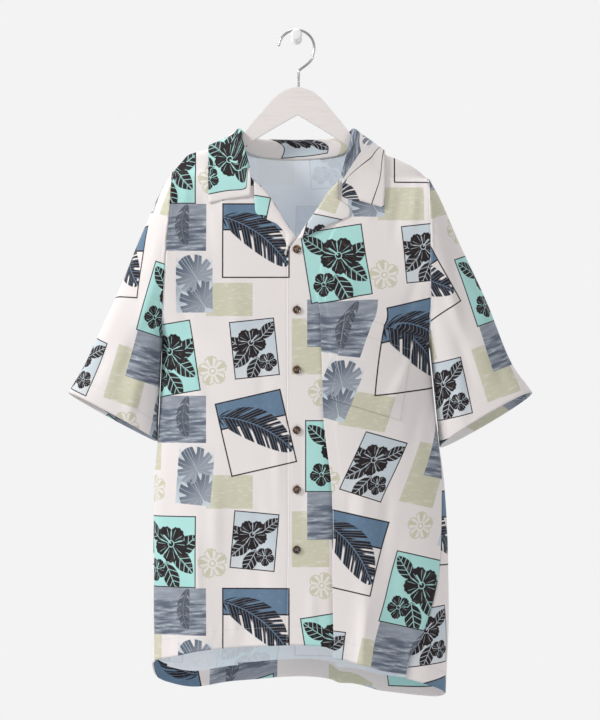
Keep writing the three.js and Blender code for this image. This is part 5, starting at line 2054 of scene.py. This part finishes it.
@dataclass
class Studio:
    """The camera, the lights and the floor."""

    middle: tuple[float, float] = (5.0, -473.3)
    distance: float = 4500.0
    visible_height: float = 1029.6
    garment_front: float = -30.0
    sensor: float = 36.0
    floor_size: float = 1.7
    floor_height: float = -1.15
    back_sky: Colour = (0.895, 0.895, 0.90)
    front_sky: Colour = (0.50, 0.50, 0.51)
    low_sky: Colour = (0.30, 0.30, 0.31)

    def build(self) -> None:
        """Sets up the room."""
        self.camera()
        self.floor()
        self.world()
        self.light("key_light", (-2.7, -1.4, 1.0), 0.8, 74)
        self.light("fill_light", (2.0, -2.8, -0.5), 2.0, 18)
        self.light("top_light", (-0.3, 0.3, 1.6), 1.2, 12)
        bpy.context.scene.view_settings.view_transform = "Standard"

    def camera(self) -> None:
        """A level camera straight in front of the garment."""
        view = bpy.data.cameras.new("camera")
        view.sensor_width = self.sensor
        view.lens = self.sensor * self.distance / self.visible_height
        camera = add_object("camera", view)
        x, z = self.middle
        camera.location = (x * MM, (self.garment_front - self.distance) * MM, z * MM)
        camera.rotation_euler = UPRIGHT
        bpy.context.scene.camera = camera

    def floor(self) -> None:
        """A plain pale floor below the garment."""
        bpy.ops.mesh.primitive_plane_add(size=self.floor_size, location=(0, 0, self.floor_height))
        floor = bpy.context.object
        floor.name = "studio_floor"
        work = Surface("floor_paint", 0.8)
        work.blend((0.72, 0.72, 0.73), (0.75, 0.75, 0.76), work.texture("Noise", 40.0))
        floor.data.materials.append(work.material)

    def world(self) -> None:
        """Pale light from all round, brighter from behind the garment and weaker from below."""
        world = bpy.data.worlds.new("studio")
        world.use_nodes = True
        tree = world.node_tree
        sky = tree.nodes["Background"]
        parts = tree.nodes.new("ShaderNodeSeparateXYZ")
        feed(parts.inputs[0], tree.nodes.new("ShaderNodeTexCoord").outputs["Generated"])
        behind = Value(tree, parts.outputs["Y"]).rise(-0.3, 0.7)
        below = Value(tree, parts.outputs["Z"]).rise(-0.25, -0.8)
        paint = Paint(tree, self.front_sky).over(self.back_sky, behind).over(self.low_sky, below)
        feed(sky.inputs["Color"], paint)
        bpy.context.scene.world = world

    def light(self, name: str, place: tuple[float, float, float], size: float, power: float) -> None:
        """Adds a large soft light that faces the garment.

        Args:
            name: the light's name.
            place: where it stands, in metres.
            size: its width, in metres.
            power: in watts.
        """
        lamp = bpy.data.lights.new(name, "AREA")
        lamp.shape = "DISK"
        lamp.size = size
        lamp.energy = power
        holder = add_object(name, lamp)
        holder.location = place
        aim = np.array([0.0, 0.0, -0.45]) - np.array(place)
        flat = math.hypot(aim[0], aim[1])
        holder.rotation_euler = (math.pi / 2 + math.atan2(aim[2], flat), 0, math.atan2(-aim[0], aim[1]))


SLEEVE_CREASES = Table(
    CREASE_COLUMNS,
    (
        (-196, -330, -236, -470, 9, 1.9), (-212, -390, -262, -540, 10, -1.6),
        (-238, -330, -286, -480, 11, 1.4), (-222, -470, -244, -580, 9, 1.5),
        (-262, -430, -300, -530, 9, -1.1), (-206, -270, -232, -380, 8, -1.2),
        (203, -330, 244, -460, 9, 1.9), (214, -400, 262, -530, 10, -1.6),
        (240, -320, 290, -470, 11, 1.5), (228, -470, 240, -590, 9, 1.5),
        (270, -430, 306, -530, 9, -1.2), (212, -280, 236, -380, 8, -1.2),
    ),
)
RIGHT_SLEEVE_EDGE = Table("along out", ((0, 0), (0.08, 4), (0.3, 2), (0.6, -4), (0.85, -4), (1, 0)))
LEFT_SLEEVE_EDGE = Table("along out", ((0, 0), (0.08, 3), (0.3, 0), (0.6, -3), (0.85, -9), (1, 0)))
COLLAR_SECTIONS = Table(
    "seam_out seam_drop crest_out crest_y crest_z away_out away_z stack "
    "mid_out mid_drop mid_up rim_out rim_drop rim_up",
    (
        (0, 37, 0, 28, -154.5, 0, -1, 0, 0, 37, 9, 0, 66, 3.2),
        (40, 33.9, 43, 25, -153.5, 0.15, -0.99, 6, 50, 33, 8, 58, 61, 3.2),
        (67, 26.4, 66, 17.5, -150.5, 0.5, -0.87, 28, 80, 20, 6, 97, 41, 3.2),
        (80.5, 12, 76, 8, -144, 0.85, -0.5, 62, 98, 7, 5, 121, 18, 5.2),
        (86.3, -0.6, 79, -2, -141.5, 0.93, -0.37, 92, 102, -0.5, 4.4, 125, -1, 5.2),
        (84.6, -10.5, 78, -14, -151.5, 0.95, -0.3, 135, 101, -10, 4.4, 126, -11, 4.2),
        (76.4, -35.7, 71.5, -25.5, -178, 0.97, -0.25, 163, 96, -34, 4, 126, -44, 3.6),
        (66, -59.3, 63, -32.5, -209, 0.97, -0.25, 172, 65, -89, 4, 124.5, -82, 3.6),
    ),
)
LAPEL_COLUMNS = "roll_x roll_z edge_x edge_z"
RIGHT_LAPEL = Table(
    LAPEL_COLUMNS,
    (
        (-60.5, -216, -60.5, -240), (-43.5, -233, -59, -261), (-25, -260, -44, -272),
        (-9.5, -285, -27, -281), (-1.5, -297, -15.5, -297), (-8.5, -309, -15, -311),
        (-15, -321, -17, -324),
    ),
)
LEFT_LAPEL = Table(
    LAPEL_COLUMNS,
    (
        (60.5, -216, 60.6, -218.5), (47, -230.5, 60.6, -242), (42, -237.5, 77, -257),
        (33, -252, 76, -267), (21, -269, 52, -278), (9, -287, 29, -290), (2.5, -298, 8, -301),
    ),
)


@dataclass
class Shirt:
    """The whole shirt, sewn from its pieces."""

    body: Body
    right_side: Material
    wrong_side: Material
    thread: Material
    stitching: Stitching = field(default_factory=lambda: Stitching("sewing_stitches"))

    def dress(self, sheet: Sheet, node: str, flat: tuple[float, float], rests_on: Sequence[str]) -> None:
        """Args:
            sheet: the cloth.
            node: the CAD node that it stands for.
            flat: width and length of its cut, in metres.
            rests_on: what it lies on or hangs from; not used.
        """
        piece = sheet.build()
        take(piece, "shirting", [node], self.right_side, self.wrong_side)
        rows, columns = sheet.places.shape[:2]
        area = sum(face.area for face in piece.data.polygons[: (rows - 1) * (columns - 1)])
        LOG.info("%s: %.4f square metres of %.4f", piece.name, area, flat[0] * flat[1])

    def sew(self, sheet: Sheet, *lines: tuple[int, bool, float]) -> None:
        """Sews lines along a sheet's edges.

        Args:
            sheet: the cloth.
            lines: for each one, the edge as in from_edge, and the distance from it.
        """
        for axis, at_end, distance in lines:
            self.stitching.run(*sheet.line(axis, at_end, distance))

    def build(self) -> None:
        """Builds every piece of the shirt but its buttons."""
        panels = Panels(self.body)
        right, left, back = panels.right_front(), panels.left_front(), panels.back()
        hanger = ["hanger_body"]
        for sheet, node, flat in (
            (right, "right_front", (0.27, 0.78)),
            (left, "left_front", (0.30, 0.78)),
            (back, "back", (0.58, 0.80)),
        ):
            panels.finish_edges(sheet)
            self.dress(sheet, node, flat, hanger)
            self.sew(sheet, (0, True, panels.hem_depth))
        self.sew(left, (1, False, 2.0))
        for sizes in (
            ("right_sleeve", Side.RIGHT, (-328, -521), (-200.4, -590), 31, 5, RIGHT_SLEEVE_EDGE),
            ("left_sleeve", Side.LEFT, (339, -521), (206.3, -598), 33, 9, LEFT_SLEEVE_EDGE),
        ):
            sleeve = Sleeve(self.body, *sizes)
            sheet = sleeve.sheet()
            self.dress(sheet, sleeve.node, (0.42, 0.26), [front_name(sleeve.side)])
            self.sew(sheet, (0, True, sleeve.hem_depth))
        collar = Collar(self.body)
        self.dress(collar.sheet(), "collar", (0.43, 0.09), ["back_cloth"])
        for table, side in ((RIGHT_LAPEL, Side.RIGHT), (LEFT_LAPEL, Side.LEFT)):
            name = side.name.lower()
            lapel = collar.lapel(table, side, f"{name}_lapel")
            self.dress(lapel, f"{name}_facing", (0.045, 0.11), [front_name(side)])
        pocket = Pocket(self.body)
        sheet = pocket.sheet(left)
        self.dress(sheet, "pocket", (0.106, 0.125), ["left_front_cloth"])
        self.sew(sheet, (1, False, 1.8), (1, True, 1.8), (0, True, 1.8), (0, False, pocket.hem_depth))

    def finish(self) -> None:
        """Joins all the stitches into one piece."""
        take(self.stitching.build(), "shirting", [], self.thread)


def front_name(side: Side) -> str:
    """The front on a side, which the pieces there lie on."""
    return f"{side.name.lower()}_front_cloth"


def main() -> None:
    """Builds the shirt, its buttons, the hanger and the room, and reports each piece."""
    logging.basicConfig(level=logging.INFO, format="%(message)s")
    body = Body()
    shirt = Shirt(
        body,
        PrintedCloth("printed_cloth", Layer.RIGHT_SIDE).material(),
        PrintedCloth("printed_cloth_wrong_side", Layer.WRONG_SIDE).material(),
        SewingThread().material(),
    )
    shirt.build()
    buttons = Buttons(body)
    buttons.build(ButtonResin().material())
    buttons.sew(shirt.stitching)
    shirt.finish()
    take(Hanger().build(), "hanger_wood", ["hanger_body"], PaleWood().material())
    take(Hook().build(), "hook_steel", ["hanger_hook"], BrushedSteel().material())
    take(Peg().build(), "peg_paint", ["wall_peg"], WhitePaint().material())
    Studio().build()


if __name__ == "__main__":
    main()
